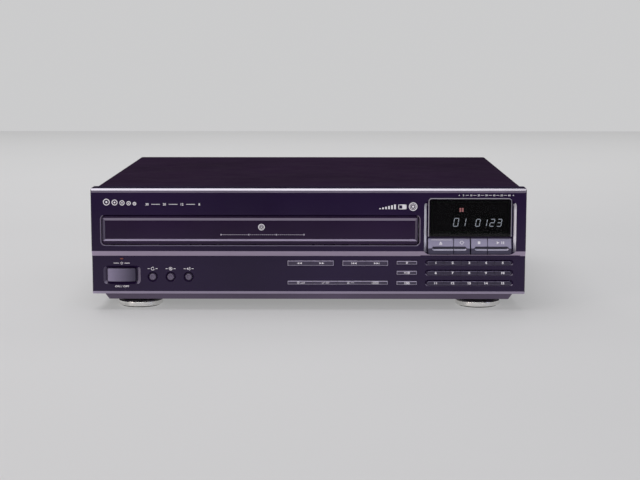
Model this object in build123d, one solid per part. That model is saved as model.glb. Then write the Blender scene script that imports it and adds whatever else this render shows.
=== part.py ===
from build123d import *
import math
import os

# Home optical-disc player for 12-inch discs, full-width hi-fi format.
# Frame: +X to the right seen from the front, +Y to the rear, +Z up. Origin on the floor under the
# middle of the case. Millimetres. Every piece is a closed solid in its own node; identical screws, feet,
# feet rings and small motors are grouped as separate solids in one node; the two guide rods stay with the
# pickup chassis that holds them.

# ---------------------------------------------------------------- driving dimensions
CASE_W = 440.0          # front panel width
TOP_Z = 125.2           # top of the front panel
FRONT_Y = -198.0        # upper face of the front panel
LOW_Y = -195.2          # lower face of the front panel, set back
PANEL_REAR_Y = -172.0   # rear rim of the front panel moulding
WALL = 2.8              # front panel wall
BAND_HI, BAND_LO = 61.6, 56.5   # slanted band between the two faces
PAN_Z = 11.5            # underside of the chassis pan
SHEET = 1.2             # chassis sheet
COVER_X = 217.5         # half width of the cover
COVER_T = 1.0
COVER_REAR_Y = 192.4
REAR_Y = 190.0          # front face of the rear panel
JACK_REAR_Y = 200.0

TRAY_X = -48.6          # centre line of tray, disc and pickup
DISC_Y = -32.0          # disc centre, tray closed
TRAY_TRAVEL = 290.0
TRAY_HALF = 154.0       # tray body half width
TONGUE_HALF = 158.6     # guide tongues
TRAY_BOT, TRAY_TOP = 74.0, 86.0
LD_R, LD_Z = 151.5, 80.5        # 30 cm disc well
MD_R, MD_Z = 101.6, 79.6        # 20 cm disc well
CD_R, CD_Z = 60.9, 77.6         # 12 cm disc well
SD_R, SD_Z = 40.9, 76.4         # 8 cm disc well

GEAR_M, GEAR_N = 1.25, 18       # tray pinion
GEAR_R = GEAR_M * GEAR_N / 2
RACK_X = 70.0                   # pitch line of the tray rack
PINION = (RACK_X + GEAR_R, -150.0)
BIG_GROOVE_R, SMALL_GROOVE_R = 19.0, 3.8
MOTOR_PULLEY = (45.0, -150.0)
FEED_M, FEED_N = 1.0, 20
FEED_R = FEED_M * FEED_N / 2
FEED_RACK_X = TRAY_X + 41.0
FEED_GEAR = (FEED_RACK_X + FEED_R, 38.0)
LENS_Y = DISC_Y + 24.5
PICKUP_TRAVEL = 121.0
ROD_R, ROD_Z, ROD_DX = 2.0, 56.0, 32.0
ROD_Y0, ROD_Y1 = -46.0, 152.0
LIFT_Y, LIFT_Z = 160.0, 47.0     # hinge of the pickup chassis

KEY_TRAVEL = 0.7
BOARD_Y = -182.5        # front face of the front board
NUB_Y = -187.2          # tip of a switch actuator

FOOT_X, FOOT_YF, FOOT_YR = 175.7, -157.0, 150.0
FOOT_R = 23.0

os.makedirs("parts", exist_ok=True)
nodes = {}


# ---------------------------------------------------------------- helpers
def bx(x0, x1, y0, y1, z0, z1):
    return Pos((x0 + x1) / 2, (y0 + y1) / 2, (z0 + z1) / 2) * Box(abs(x1 - x0), abs(y1 - y0), abs(z1 - z0))


def cz(r, x, y, z0, z1):
    return Pos(x, y, (z0 + z1) / 2) * Cylinder(r, abs(z1 - z0))


def cy(r, x, z, y0, y1):
    return Pos(x, (y0 + y1) / 2, z) * Rot(90, 0, 0) * Cylinder(r, abs(y1 - y0))


def cx(r, y, z, x0, x1):
    return Pos((x0 + x1) / 2, y, z) * Rot(0, 90, 0) * Cylinder(r, abs(x1 - x0))


def yplane(y):
    # local x is +X, local y is -Z, normal is +Y
    return Plane(origin=(0, y, 0), x_dir=(1, 0, 0), z_dir=(0, 1, 0))


def rr(x0, x1, z0, z1, r, y, depth, taper=0.0):
    """Rounded rectangle in XZ at y, driven depth towards +Y, narrowing by taper degrees."""
    sk = Pos((x0 + x1) / 2, -(z0 + z1) / 2) * RectangleRounded(x1 - x0, z1 - z0, r)
    return extrude(yplane(y) * sk, amount=depth, taper=taper)


def scoop(x0, x1, z0, z1, r, y, depth, taper, fil):
    """Cutting tool for a shallow dish: slanting walls that round into its floor."""
    tool = rr(x0, x1, z0, z1, r, y, depth, taper)
    return fillet([e for e in tool.edges() if abs(e.center().Y - (y + depth)) < 1e-6], fil)


def xprofile(points, x0, x1):
    """Closed polygon of (y, z) points, swept from x0 to x1."""
    face = Plane.YZ * make_face(Polyline(*points, close=True))
    return Pos(x0, 0, 0) * extrude(face, amount=x1 - x0)


def yprofile(points, y0, y1):
    """Closed polygon of (x, z) points, swept from y0 to y1."""
    pl = Plane(origin=(0, y0, 0), x_dir=(1, 0, 0), z_dir=(0, 1, 0))
    face = pl * make_face(Polyline(*[(p[0], -p[1]) for p in points], close=True))
    return extrude(face, amount=y1 - y0)


def zprofile(points, z0, z1):
    face = Plane(origin=(0, 0, z0)) * make_face(Polyline(*points, close=True))
    return extrude(face, amount=z1 - z0)


def turned(points, x, y):
    """Solid of revolution about the vertical through x, y, from (r, z) points."""
    face = Plane.XZ * make_face(Polyline(*points, close=True))
    return Pos(x, y, 0) * revolve(face, axis=Axis.Z)


def frustum(x0, x1, y0, y1, z0, X0, X1, Y0, Y1, z1):
    a = Pos((x0 + x1) / 2, (y0 + y1) / 2, z0) * Rectangle(x1 - x0, y1 - y0)
    b = Pos((X0 + X1) / 2, (Y0 + Y1) / 2, z1) * Rectangle(X1 - X0, Y1 - Y0)
    return loft([a.face(), b.face()], ruled=True)


def gear_points(m, n, x, y, tooth_at=180.0, backlash=0.20, flank=6):
    """Involute spur gear outline, with one tooth centred on the direction tooth_at."""
    pa = math.radians(20)
    rp, ra, rd = m * n / 2, m * n / 2 + 0.93 * m, m * n / 2 - 1.22 * m
    rb = rp * math.cos(pa)
    inv = lambda a: math.tan(a) - a
    half = math.pi / (2 * n) - backlash / (4 * rp) * 1.0
    pts = []
    rs = max(rb, rd) + 1e-4
    for k in range(n):
        c = math.radians(tooth_at) + 2 * math.pi * k / n
        side = []
        for i in range(flank):
            r = rs + (ra - rs) * i / (flank - 1)
            a = half + inv(pa) - inv(math.acos(min(1.0, rb / r)))
            side.append((r, a))
        root = [(rd, side[0][1])] if rd < rs - 0.01 else []
        outline = [(r, -a) for r, a in root + side] + [(r, a) for r, a in reversed(root + side)]
        for r, a in outline:
            pts.append((x + r * math.cos(c + a), y + r * math.sin(c + a)))
    return pts


def rack_points(m, x_pitch, back, y0, y1, space_at, backlash=0.20):
    """Rack with teeth facing +X. A tooth space is centred on y = space_at."""
    p = math.pi * m
    t = math.tan(math.radians(20))
    ad, de = 0.93 * m, 1.22 * m
    half = p / 4 - backlash / 4
    pts = [(back, y0), (x_pitch - de, y0)]
    k = math.ceil((y0 + p / 2 - space_at) / p - 0.5)
    c = space_at + (k + 0.5) * p
    while c + p / 2 < y1:
        pts += [(x_pitch - de, c - half - de * t), (x_pitch + ad, c - half + ad * t),
                (x_pitch + ad, c + half - ad * t), (x_pitch - de, c + half + de * t)]
        c += p
    pts += [(x_pitch - de, y1), (back, y1)]
    return pts


def put(name, *solids):
    shape = solids[0] if len(solids) == 1 else Compound(children=list(solids))
    nodes[name] = shape


def as_solids(shape):
    return list(shape.solids())


# ---------------------------------------------------------------- front controls, in one table
# Sizes are x0, x1, z0, z1 of the cap's face.
ROWS = {1: (47.9, 51.3), 2: (37.4, 41.1), 3: (26.9, 30.5)}
KEY_FRONT = LOW_Y - 0.85
controls = {}
for row, (za, zb) in ROWS.items():
    for col in range(5):
        w = 84.8 / 5
        a = 120.8 + w * col
        controls["number_key_%02d" % ((row - 1) * 5 + col + 1)] = (a + 0.09, a + w - 0.09, za, zb)
for row, nm in zip((1, 2, 3), ("random_key", "plus_ten_key", "hundred_key")):
    controls[nm] = (89.7, 110.1, ROWS[row][0], ROWS[row][1])
for col, nm in enumerate(("display_key", "check_key", "clear_key", "program_key")):
    w = 102.0 / 4
    controls[nm] = (-21.3 + w * col + 0.1, -21.3 + w * (col + 1) - 0.1, 27.2, 30.8)
ROCKERS = {"search_rocker": (-21.2, 25.5, 46.5, 51.6), "skip_rocker": (34.6, 80.7, 46.5, 51.6)}
ROCKER_AXIS_Y = -190.4
TRANSPORT = {"open_close_key": (121.1, 146.5), "disc_side_key": (147.1, 163.3),
             "stop_key": (164.5, 180.8), "play_pause_key": (181.4, 205.2)}
TRANS_Z = (58.9, 74.5)
POWER = (-204.5, -175.9, 30.0, 43.4)
ROUND = {"repeat_button": -158.6, "auto_button": -140.3, "monitor_button": -122.0}
ROUND_Z = 34.9
LED = (-190.0, 53.4)
BAY = (117.0, 209.9, 56.0, 114.4)
WINDOW = (121.0, 205.3, 76.8, 115.9)
WINDOW_Y = -198.7


# ---------------------------------------------------------------- front panel
def front_panel():
    h = CASE_W / 2
    outer = xprofile([(PANEL_REAR_Y, TOP_Z), (FRONT_Y + 2.7, TOP_Z), (FRONT_Y + 0.7, TOP_Z - 1.9),
                      (FRONT_Y, TOP_Z - 4.0), (FRONT_Y, BAND_HI), (LOW_Y, BAND_LO), (LOW_Y, 20.0),
                      (LOW_Y + 2.5, 17.1), (PANEL_REAR_Y, 17.1)], -h, h)
    front_edges = [e for e in outer.edges().filter_by(Axis.X, reverse=True)
                   if abs(abs(e.center().X) - h) < 1e-6 and e.center().Y < FRONT_Y + 4.0
                   and e.length > 1.0 and 18 < e.center().Z < 124]
    outer = chamfer(front_edges, 0.9)
    w = WALL
    inner = xprofile([(PANEL_REAR_Y - (-1), TOP_Z - w), (FRONT_Y + 5.0, TOP_Z - w),
                      (FRONT_Y + w, TOP_Z - w - 2.0), (FRONT_Y + w, BAND_HI - 1.0), (LOW_Y + w, BAND_LO - 1.0),
                      (LOW_Y + w, 19.9), (PANEL_REAR_Y + 1, 19.9)], -h + w, h - w)
    p = outer - inner
    # thick backing behind the display bay
    p += bx(113.6, 214.6, FRONT_Y + w - 0.4, LOW_Y + w + 0.2, 54.0, 119.5)
    # skirt under the panel, open below
    skirt = frustum(-208, 208, -190.8, PANEL_REAR_Y, 17.1, -204.2, 204.2, -187.2, PANEL_REAR_Y, 10.8)
    hollow = frustum(-205.6, 205.6, -188.4, PANEL_REAR_Y + 1, 14.7, -202.9, 202.9, -185.4, PANEL_REAR_Y + 1, 10.0)
    p = p + (skirt - hollow)
    # disc drawer opening with a bevelled lip
    p -= rr(-210.8, 113.2, 66.9, 98.9, 5.0, FRONT_Y, 1.0, 45)
    p -= rr(-209.8, 112.2, 67.9, 97.9, 4.0, FRONT_Y - 1, 9.0)
    # display bay with slanting side walls
    p -= scoop(BAY[0], BAY[1], BAY[2], BAY[3], 7.0, FRONT_Y, 3.0, 42, 1.6)
    p -= rr(WINDOW[0] - 0.2, WINDOW[1] + 0.2, WINDOW[2] - 0.2, WINDOW[3] + 0.2, 3.7, FRONT_Y, 3.0)
    # display aperture and transport key aperture
    p -= bx(124.2, 202.4, FRONT_Y, LOW_Y + w + 1, 79.4, 112.4)
    p -= rr(120.7, 205.6, 58.4, 74.9, 1.2, FRONT_Y, 8.0)
    # power button dish
    p += bx(-213.0, -168.0, LOW_Y + w - 0.2, LOW_Y + w + 1.6, 24.0, 50.0)
    p -= scoop(-208.6, -171.0, 27.0, 46.3, 4.5, LOW_Y, 2.4, 45, 1.5)
    p -= rr(POWER[0] - 0.4, POWER[1] + 0.4, POWER[2] - 0.4, POWER[3] + 0.4, 1.2, LOW_Y, 7.0)
    # round button dishes
    for x in ROUND.values():
        p -= extrude(yplane(LOW_Y) * (Pos(x, -ROUND_Z) * Circle(5.3)), amount=1.5, taper=38)
        p -= cy(3.55, x, ROUND_Z, LOW_Y - 1, LOW_Y + 5)
    # number key rows, each in one shallow channel with round ends
    for za, zb in ROWS.values():
        p -= scoop(118.3, 208.1, za - 1.35, zb + 1.35, 3.05, LOW_Y, 1.15, 40, 0.7)
        p -= rr(120.6, 205.8, za - 0.25, zb + 0.25, 1.8, LOW_Y, 5.0)
        p -= rr(89.7 - 0.25, 110.1 + 0.25, za - 0.25, zb + 0.25, 0.5, LOW_Y - 0.5, 5.0)
    p -= rr(-21.3 - 0.25, 80.7 + 0.25, 26.95, 31.05, 0.5, LOW_Y - 0.5, 5.0)
    for a, b, c, d in ROCKERS.values():
        p -= rr(a - 0.45, b + 0.45, c - 0.3, d + 0.3, 0.5, LOW_Y - 0.5, 5.0)
    # indicator window
    p -= bx(LED[0] - 1.7, LED[0] + 1.7, LOW_Y - 1, LOW_Y + 5, LED[1] - 0.8, LED[1] + 0.8)
    # trunnion bosses for the rockers
    for a, b, c, d in ROCKERS.values():
        m = (a + b) / 2
        for z0, z1 in ((c - 3.2, c - 1.0), (d + 1.0, d + 3.2)):
            p += bx(m - 2.6, m + 2.6, LOW_Y + w - 0.2, ROCKER_AXIS_Y + 2.4, z0, z1)
        p -= cz(0.98, m, ROCKER_AXIS_Y, c - 3.3, d + 3.3)
    # ribs that carry the front board, clear of every key
    for x in (-214.0, -165.0, -95.0, -60.0, 29.9, 85.0, 115.5, 212.0):
        p += bx(x - 0.9, x + 0.9, LOW_Y + w - 0.2, BOARD_Y, 21.0, 26.0)
        if x not in (29.9,):
            p += bx(x - 0.9, x + 0.9, LOW_Y + w - 0.2, BOARD_Y, 53.6, 56.0)
    return p


put("front_panel", front_panel())


# ---------------------------------------------------------------- keys
def key_cap(x0, x1, z0, z1, left=0.18, right=0.18, y=KEY_FRONT, round_left=False, round_right=False):
    cap = bx(x0, x1, y, LOW_Y + WALL + 1.0, z0, z1)
    for flag, x in ((round_left, x0), (round_right, x1)):
        if flag:
            cap = fillet([e for e in cap.edges().filter_by(Axis.Y) if abs(e.center().X - x) < 1e-6], 1.5)
    edges = [e for e in cap.edges() if abs(e.center().Y - y) < 1e-6]
    if round_left or round_right:
        far = x1 if round_left else x0
        cap = chamfer([e for e in edges if abs(e.center().X - far) > 1e-6], 0.5)
        ends = ((far, 0.16),)
    else:
        top = [e for e in edges if abs(e.center().Z - z1) < 1e-6]
        bot = [e for e in edges if abs(e.center().Z - z0) < 1e-6]
        cap = chamfer(top + bot, 0.5)
        ends = ((x0, left), (x1, right))
    for x, c in ends:
        es = [e for e in cap.edges() if abs(e.center().Y - y) < 1e-6 and abs(e.center().X - x) < 1e-6]
        if es and c > 0:
            cap = chamfer(es, c)
    xm, zm = (x0 + x1) / 2, (z0 + z1) / 2
    cap += bx(x0 + 0.3, x1 - 0.3, LOW_Y + WALL + 0.3, LOW_Y + WALL + 1.3, z0 - 0.8, z1 + 0.8)
    cap += cy(1.5, xm, zm, LOW_Y + WALL + 1.0, NUB_Y - 0.85)
    return cap


for nm, (a, b, c, d) in controls.items():
    left = right = 0.16
    if nm in ("random_key", "plus_ten_key", "hundred_key"):
        left = right = 0.55
    if nm == "display_key":
        left = 0.55
    if nm == "program_key":
        right = 0.55
    rl = nm in ("number_key_01", "number_key_06", "number_key_11")
    rt = nm in ("number_key_05", "number_key_10", "number_key_15")
    put(nm, key_cap(a, b, c, d, left, right, round_left=rl, round_right=rt))

for nm, (a, b, c, d) in ROCKERS.items():
    m = (a + b) / 2
    cap = bx(a, b, KEY_FRONT, -191.6, c, d)
    es = [e for e in cap.edges() if abs(e.center().Y - KEY_FRONT) < 1e-6]
    cap = chamfer(es, 0.55)
    # a shallow V at the middle divides the two halves
    cap -= zprofile([(m - 0.35, KEY_FRONT - 0.1), (m + 0.35, KEY_FRONT - 0.1), (m, KEY_FRONT + 0.3)], c - 1, d + 1)
    cap += cz(0.9, m, ROCKER_AXIS_Y, c - 3.0, d + 3.0)
    cap += bx(m - 2.0, m + 2.0, -191.8, ROCKER_AXIS_Y, c - 0.2, d + 0.2)
    for s in (-1, 1):
        cap += cy(1.5, m + s * 14.0, (c + d) / 2, -191.8, NUB_Y - 0.75)
    put(nm, cap)


def transport_key(x0, x1, dish0, dish1):
    z0, z1 = TRANS_Z
    back = LOW_Y + WALL + 1.0
    # face: an upper facet leaning back, a finger groove, and a lower facet
    body = xprofile([(-196.6, z1), (-200.0, 64.9), (-199.7, z0 + 1.1), (-198.9, z0),
                     (back, z0), (back, z1)], x0, x1)
    es = [e for e in body.edges() if e.center().Y < -196.7 and min(abs(e.center().X - x0), abs(e.center().X - x1)) < 1e-6
          and e.length > 1.5]
    body = chamfer(es, 0.22)
    groove = rr(dish0, dish1, 62.5, 67.3, 2.3, -200.4, 2.7, 28)
    body -= groove
    # the outer lower corners follow the round corners of the bay
    for x in (x0, x1):
        if x < 121.5 or x > 204.0:
            body -= bx(x - 0.9, x + 0.9, -201.0, back + 0.1, z0 - 0.1, z0 + 0.9) - cy(1.8, x + (1.8 if x < 160 else -1.8), z0 + 1.8, -202.0, back + 1.0)
    body += bx(x0 + 0.9, x1 - 0.9, LOW_Y + WALL + 0.5, back + 0.3, z0 - 0.4, z1 + 0.9)
    body += cy(1.5, (x0 + x1) / 2, 66.0, back, NUB_Y - 1.1)
    return body


for nm, (a, b) in TRANSPORT.items():
    d0, d1 = (124.6, 160.1) if b < 164 else (167.7, 202.9)
    put(nm, transport_key(a, b, d0, d1))

# power button: cap crowned about the vertical, its long edges bevelled
a, b, c, d = POWER
cap = rr(a, b, c, d, 1.0, LOW_Y - 2.0, 6.9)
CROWN_R = 62.0
cap = cap & (cz(CROWN_R, (a + b) / 2, LOW_Y - 2.0 + CROWN_R, c - 1.0, d + 1.0))
es = [e for e in cap.edges() if abs(e.center().Z - (c + d) / 2) > (d - c) / 2 - 0.05 and e.center().Y < LOW_Y - 1.0 and e.length > 10]
cap = chamfer(es, 0.7)
cap += bx(a - 0.9, b + 0.9, LOW_Y + WALL + 1.9, LOW_Y + WALL + 2.9, c - 1.2, d + 1.2)
cap += cy(2.2, (a + b) / 2, (c + d) / 2, LOW_Y + WALL + 2.0, NUB_Y - 1.75)
put("power_button", cap)

for nm, x in ROUND.items():
    y0 = LOW_Y - 1.0
    stem = cy(3.2, x, ROUND_Z, y0, LOW_Y + WALL + 1.2)
    stem = chamfer([e for e in stem.edges() if abs(e.center().Y - y0) < 1e-6], 0.45)
    stem -= extrude(yplane(y0) * (Pos(x, -ROUND_Z) * Circle(2.0)), amount=0.7, taper=45)
    stem += cy(4.3, x, ROUND_Z, LOW_Y + WALL + 0.3, LOW_Y + WALL + 1.3)
    stem += cy(1.5, x, ROUND_Z, LOW_Y + WALL + 1.2, NUB_Y - 1.1)
    put(nm, stem)

# ---------------------------------------------------------------- display window and tube
win = rr(WINDOW[0], WINDOW[1], WINDOW[2], WINDOW[3], 3.5, WINDOW_Y, FRONT_Y + 3.0 - WINDOW_Y)
win += bx(WINDOW[0], WINDOW[1], WINDOW_Y, FRONT_Y + 3.0, WINDOW[2], WINDOW[2] + 5.0)
es = [e for e in win.edges() if abs(e.center().Y - WINDOW_Y) < 1e-6 and e.center().Z > WINDOW[2] + 0.5]
win = chamfer(es, 0.9)
put("display_window", win)

glass = bx(126.0, 202.0, -191.4, -187.6, 82.0, 110.0)
glass = chamfer([e for e in glass.edges().filter_by(Axis.Y)], 1.0)
tube = glass + bx(130.0, 198.0, -187.6, -186.2, 84.0, 108.0)
pins = [bx(x - 0.25, x + 0.25, -189.0, BOARD_Y, 80.9, 81.4) + bx(x - 0.25, x + 0.25, -189.6, -189.0, 80.9, 82.0)
        for x in [131.0 + 4.4 * i for i in range(16)]]
put("display_tube", tube, *pins)

# ---------------------------------------------------------------- front board with switches
board = bx(-211.0, 211.0, BOARD_Y, BOARD_Y + 1.6, 22.0, 58.5) + bx(116.0, 211.0, BOARD_Y, BOARD_Y + 1.6, 58.5, 118.0)
board -= bx(160.0, 166.0, BOARD_Y - 1, BOARD_Y + 2, 112.0, 119.0)
fb = []


def switch(x, z):
    s = bx(x - 3.0, x + 3.0, BOARD_Y - 3.6, BOARD_Y, z - 2.6, z + 2.6) + cy(1.6, x, z, NUB_Y, BOARD_Y - 3.4)
    return s


spots = [((a + b) / 2, (c + d) / 2) for a, b, c, d in controls.values()]
spots += [((a + b) / 2 + s * 14.0, (c + d) / 2) for a, b, c, d in ROCKERS.values() for s in (-1, 1)]
spots += [((a + b) / 2, 66.0) for a, b in TRANSPORT.values()]
spots += [((POWER[0] + POWER[1]) / 2, (POWER[2] + POWER[3]) / 2)] + [(x, ROUND_Z) for x in ROUND.values()]
for x, z in spots:
    fb.append(switch(x, z))
led = bx(LED[0] - 1.4, LED[0] + 1.4, LOW_Y - 0.1, BOARD_Y, LED[1] - 0.55, LED[1] + 0.55)
fb.append(led)
for x, w, z in ((-100.0, 24.0, 40.0), (60.0, 18.0, 40.0)):
    fb.append(bx(x - w / 2, x + w / 2, BOARD_Y + 1.6, BOARD_Y + 4.4, z - 5, z + 5))
fb.append(bx(130.0, 168.0, BOARD_Y + 1.6, BOARD_Y + 4.2, 86.0, 100.0))
fb.append(bx(180.0, 206.0, BOARD_Y + 1.6, BOARD_Y + 7.6, 64.0, 70.0))
put("front_board", board, *fb)


# ---------------------------------------------------------------- chassis pan
def base_chassis():
    o = [(-216.3, 46.0), (-216.3, 17.0), (-205.6, 17.0), (-202.5, PAN_Z), (202.5, PAN_Z), (205.6, 17.0), (216.3, 17.0), (216.3, 46.0)]
    i = [(215.1, 46.0), (215.1, 18.2), (205.0, 18.2), (201.9, PAN_Z + SHEET), (-201.9, PAN_Z + SHEET), (-205.0, 18.2), (-215.1, 18.2), (-215.1, 46.0)]
    p = yprofile(o + i, PANEL_REAR_Y + 0.4, REAR_Y)
    # front and rear flanges
    p += bx(-201.0, 201.0, PANEL_REAR_Y + 0.4, PANEL_REAR_Y + 1.6, PAN_Z + SHEET - 0.1, 20.0)
    p += bx(-201.0, 201.0, REAR_Y - 1.2, REAR_Y, PAN_Z + SHEET - 0.1, 19.0)
    # pressed stiffening ribs across the floor
    for y in (-100.0, -20.0, 60.0):
        p += xprofile([(y - 7, PAN_Z + SHEET), (y + 7, PAN_Z + SHEET), (y + 4.6, PAN_Z + 3.6), (y - 4.6, PAN_Z + 3.6)], -165, 100)
        p -= xprofile([(y - 5.8, PAN_Z - 0.01), (y + 5.8, PAN_Z - 0.01), (y + 3.6, PAN_Z + 2.4), (y - 3.6, PAN_Z + 2.4)], -163.4, 98.4)
    # air slots under the power side and under the mechanism
    for gx, n in ((132.0, 11), (-150.0, 11)):
        for k in range(n):
            x = gx + 6.2 * k
            p -= extrude(Plane(origin=(x, 112.0, PAN_Z - 1)) * SlotOverall(44, 3.0, rotation=90), amount=4)
    # foot screw holes and mechanism screw holes
    for x in (-FOOT_X, FOOT_X):
        for y in (FOOT_YF, FOOT_YR):
            p -= cz(2.1, x, y, PAN_Z - 1, PAN_Z + 3)
    for x, y in LEGS:
        p -= cz(1.9, x, y, PAN_Z - 1, PAN_Z + 3)
    for x in (-216.3, 216.3):
        for y in (-110.0, 120.0):
            p -= cx(2.0, y, 32.0, x - 2, x + 2)
    return p


LEGS = [(TRAY_X - 146, -128.0), (TRAY_X + 146, -128.0), (TRAY_X - 146, 124.0), (TRAY_X + 146, 124.0)]
put("base_chassis", base_chassis())


# ---------------------------------------------------------------- top cover
def top_cover():
    X, T, R = COVER_X, COVER_T, 2.4
    zt, zb = TOP_Z - 0.3, 15.4
    out = extrude(yplane(PANEL_REAR_Y + 0.6) * (Pos(0, -(zb - 20 + zt) / 2) * RectangleRounded(2 * X, zt - (zb - 20), R)), amount=COVER_REAR_Y - PANEL_REAR_Y - 0.6)
    inn = extrude(yplane(PANEL_REAR_Y - 1) * (Pos(0, -(zb - 30 + zt - T) / 2) * RectangleRounded(2 * (X - T), zt - T - (zb - 30), R - T)), amount=COVER_REAR_Y - PANEL_REAR_Y + 4)
    p = out - inn
    p -= bx(-X - 1, X + 1, -300, 300, zb - 60, zb)
    # lips folded in at the rear
    p += bx(-X + T + 0.0, X - T, COVER_REAR_Y - T, COVER_REAR_Y, 111.5, zt - T + 0.2)
    for s in (-1, 1):
        p += bx(s * (X - T + 0.2), s * (X - 12), COVER_REAR_Y - T, COVER_REAR_Y, zb, 113.0)
    # side air slots
    for s in (-1, 1):
        for k in range(20):
            y = 28.0 + 7.0 * k
            for zc in (66.0, 92.0):
                p -= Pos(s * X, y, zc) * Rot(0, 90, 0) * extrude(SlotOverall(20, 2.6), amount=4, both=True)
        for y in (-110.0, 120.0):
            p -= cx(2.1, y, 32.0, s * X - 3, s * X + 3)
    for x in (-186.0, 0.0, 186.0):
        p -= cy(1.8, x, 117.6, COVER_REAR_Y - 3, COVER_REAR_Y + 3)
    return p


put("top_cover", top_cover())

# ---------------------------------------------------------------- rear panel and sockets
RCA = [(x, z) for x in (-58.0, -42.0, -26.0) for z in (29.0, 45.0)]
SVID = (0.0, 37.0)
MINI = [(24.0, 45.0), (24.0, 29.0)]
OPT = (44.0, 37.0)
RFJ = [(78.0, 45.0), (78.0, 27.0)]
INLET = (176.0, 38.0)


def rear_panel():
    p = bx(-215.9, 215.9, REAR_Y, REAR_Y + SHEET, 18.3, 123.4) + bx(-201.0, 201.0, REAR_Y, REAR_Y + SHEET, PAN_Z + 0.5, 18.4)
    # folded flange along the top, under the cover
    p += bx(-212.0, 212.0, REAR_Y - 9.0, REAR_Y + 0.2, 122.2, 123.4)
    p -= rr(-67.5, 67.5 - 84.0 + 0.0, 19.8, 54.2, 1.0, REAR_Y - 1, 4)
    for x, z in [SVID]:
        p -= cy(6.3, x, z, REAR_Y - 2, REAR_Y + 3)
    for x, z in MINI:
        p -= cy(3.6, x, z, REAR_Y - 2, REAR_Y + 3)
    p -= bx(OPT[0] - 5.6, OPT[0] + 5.6, REAR_Y - 1, REAR_Y + 3, OPT[1] - 5.6, OPT[1] + 5.6)
    for x, z in RFJ:
        p -= cy(5.6, x, z, REAR_Y - 2, REAR_Y + 3)
    p -= rr(INLET[0] - 13.0, INLET[0] + 13.0, INLET[1] - 9.0, INLET[1] + 9.0, 2.0, REAR_Y - 1, 4)
    # air slots behind the power side
    for k in range(14):
        x = 118.0 + 6.0 * k
        p -= rr(x - 1.4, x + 1.4, 66.0, 98.0, 1.35, REAR_Y - 1, 4)
    # pressed stiffening frame on the plain left part
    fr = rr(-196.0, -92.0, 34.0, 104.0, 6.0, REAR_Y + SHEET - 0.1, 0.9) - rr(-193.0, -95.0, 37.0, 101.0, 4.5, REAR_Y - 1, 4)
    p += fr
    for x in (-186.0, 0.0, 186.0):
        p -= cy(1.6, x, 117.6, REAR_Y - 3, REAR_Y + 3)
    for x in (-195.0, -84.0, 60.0, 120.0, 202.0):
        p -= cy(1.6, x, 25.0 if x not in (120.0,) else 25.0, REAR_Y - 3, REAR_Y + 3)
    for x in (INLET[0] - 17.5, INLET[0] + 17.5):
        p -= cy(1.6, x, INLET[1], REAR_Y - 3, REAR_Y + 3)
    return p


put("rear_panel", rear_panel())


def rca(x, z):
    b = cy(4.15, x, z, REAR_Y + 2.4, JACK_REAR_Y) + cy(5.4, x, z, REAR_Y + 2.4, REAR_Y + 3.2)
    b = chamfer([e for e in b.edges() if abs(e.center().Y - JACK_REAR_Y) < 1e-6], 0.4)
    b -= cy(3.2, x, z, REAR_Y + 4.0, JACK_REAR_Y + 1)
    return b


def rca_insert(x, z):
    return cy(3.15, x, z, REAR_Y + 4.1, JACK_REAR_Y - 0.8) - cy(1.6, x, z, REAR_Y + 5.0, JACK_REAR_Y + 1)


jacks = []
plate = rr(-66.9, -17.1, 20.4, 53.6, 1.5, REAR_Y - 12.0, 12.0 + 2.4)
jacks.append(plate)
for x, z in RCA:
    jacks += [rca(x, z), rca_insert(x, z)]
sv = cy(6.1, SVID[0], SVID[1], REAR_Y - 10, REAR_Y + 2.2) - cy(4.7, SVID[0], SVID[1], REAR_Y - 4, REAR_Y + 3)
sv += bx(SVID[0] - 1.6, SVID[0] + 1.6, REAR_Y - 4.2, REAR_Y + 0.2, SVID[1] - 3.4, SVID[1] - 1.8)
jacks.append(sv)
for x, z in MINI:
    jacks.append(cy(3.4, x, z, REAR_Y - 9, REAR_Y + 3.4) - cy(1.8, x, z, REAR_Y - 8, REAR_Y + 4))
opt = bx(OPT[0] - 5.3, OPT[0] + 5.3, REAR_Y - 12, REAR_Y + 2.4, OPT[1] - 5.3, OPT[1] + 5.3)
opt -= rr(OPT[0] - 3.4, OPT[0] + 3.4, OPT[1] - 3.0, OPT[1] + 3.0, 0.8, REAR_Y - 3.0, 6)
opt += bx(OPT[0] - 3.0, OPT[0] + 3.0, REAR_Y - 2.0, REAR_Y - 1.0, OPT[1] - 2.6, OPT[1] + 2.6)
opt += bx(OPT[0] - 1.0, OPT[0] + 1.0, REAR_Y - 3.2, REAR_Y - 1.8, OPT[1] - 1.0, OPT[1] + 1.0)
jacks.append(opt)
for x, z in RFJ:
    j = cy(5.4, x, z, REAR_Y - 10, REAR_Y + 2.0) + cy(4.6, x, z, REAR_Y + 1.9, REAR_Y + 8.6)
    j -= cy(2.4, x, z, REAR_Y - 2.0, REAR_Y + 9)
    jacks.append(j)

x, z = INLET
inl = rr(x - 21.5, x + 21.5, z - 11.0, z + 11.0, 4.0, REAR_Y + SHEET, 2.2)
inl += rr(x - 12.6, x + 12.6, z - 8.6, z + 8.6, 1.8, REAR_Y - 14.0, 15.4)
mouth = rr(x - 8.6, x + 8.6, z - 4.6, z + 4.6, 4.5, REAR_Y - 10.0, 20.0)
inl -= mouth
for dx in (-4.3, 4.3):
    inl += cy(1.2, x + dx, z, REAR_Y - 10.5, REAR_Y + 1.0)
for dx in (-17.5, 17.5):
    inl -= cy(1.7, x + dx, z, REAR_Y - 3, REAR_Y + 8)
put("rear_sockets", *jacks)
put("power_inlet", inl)


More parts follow.
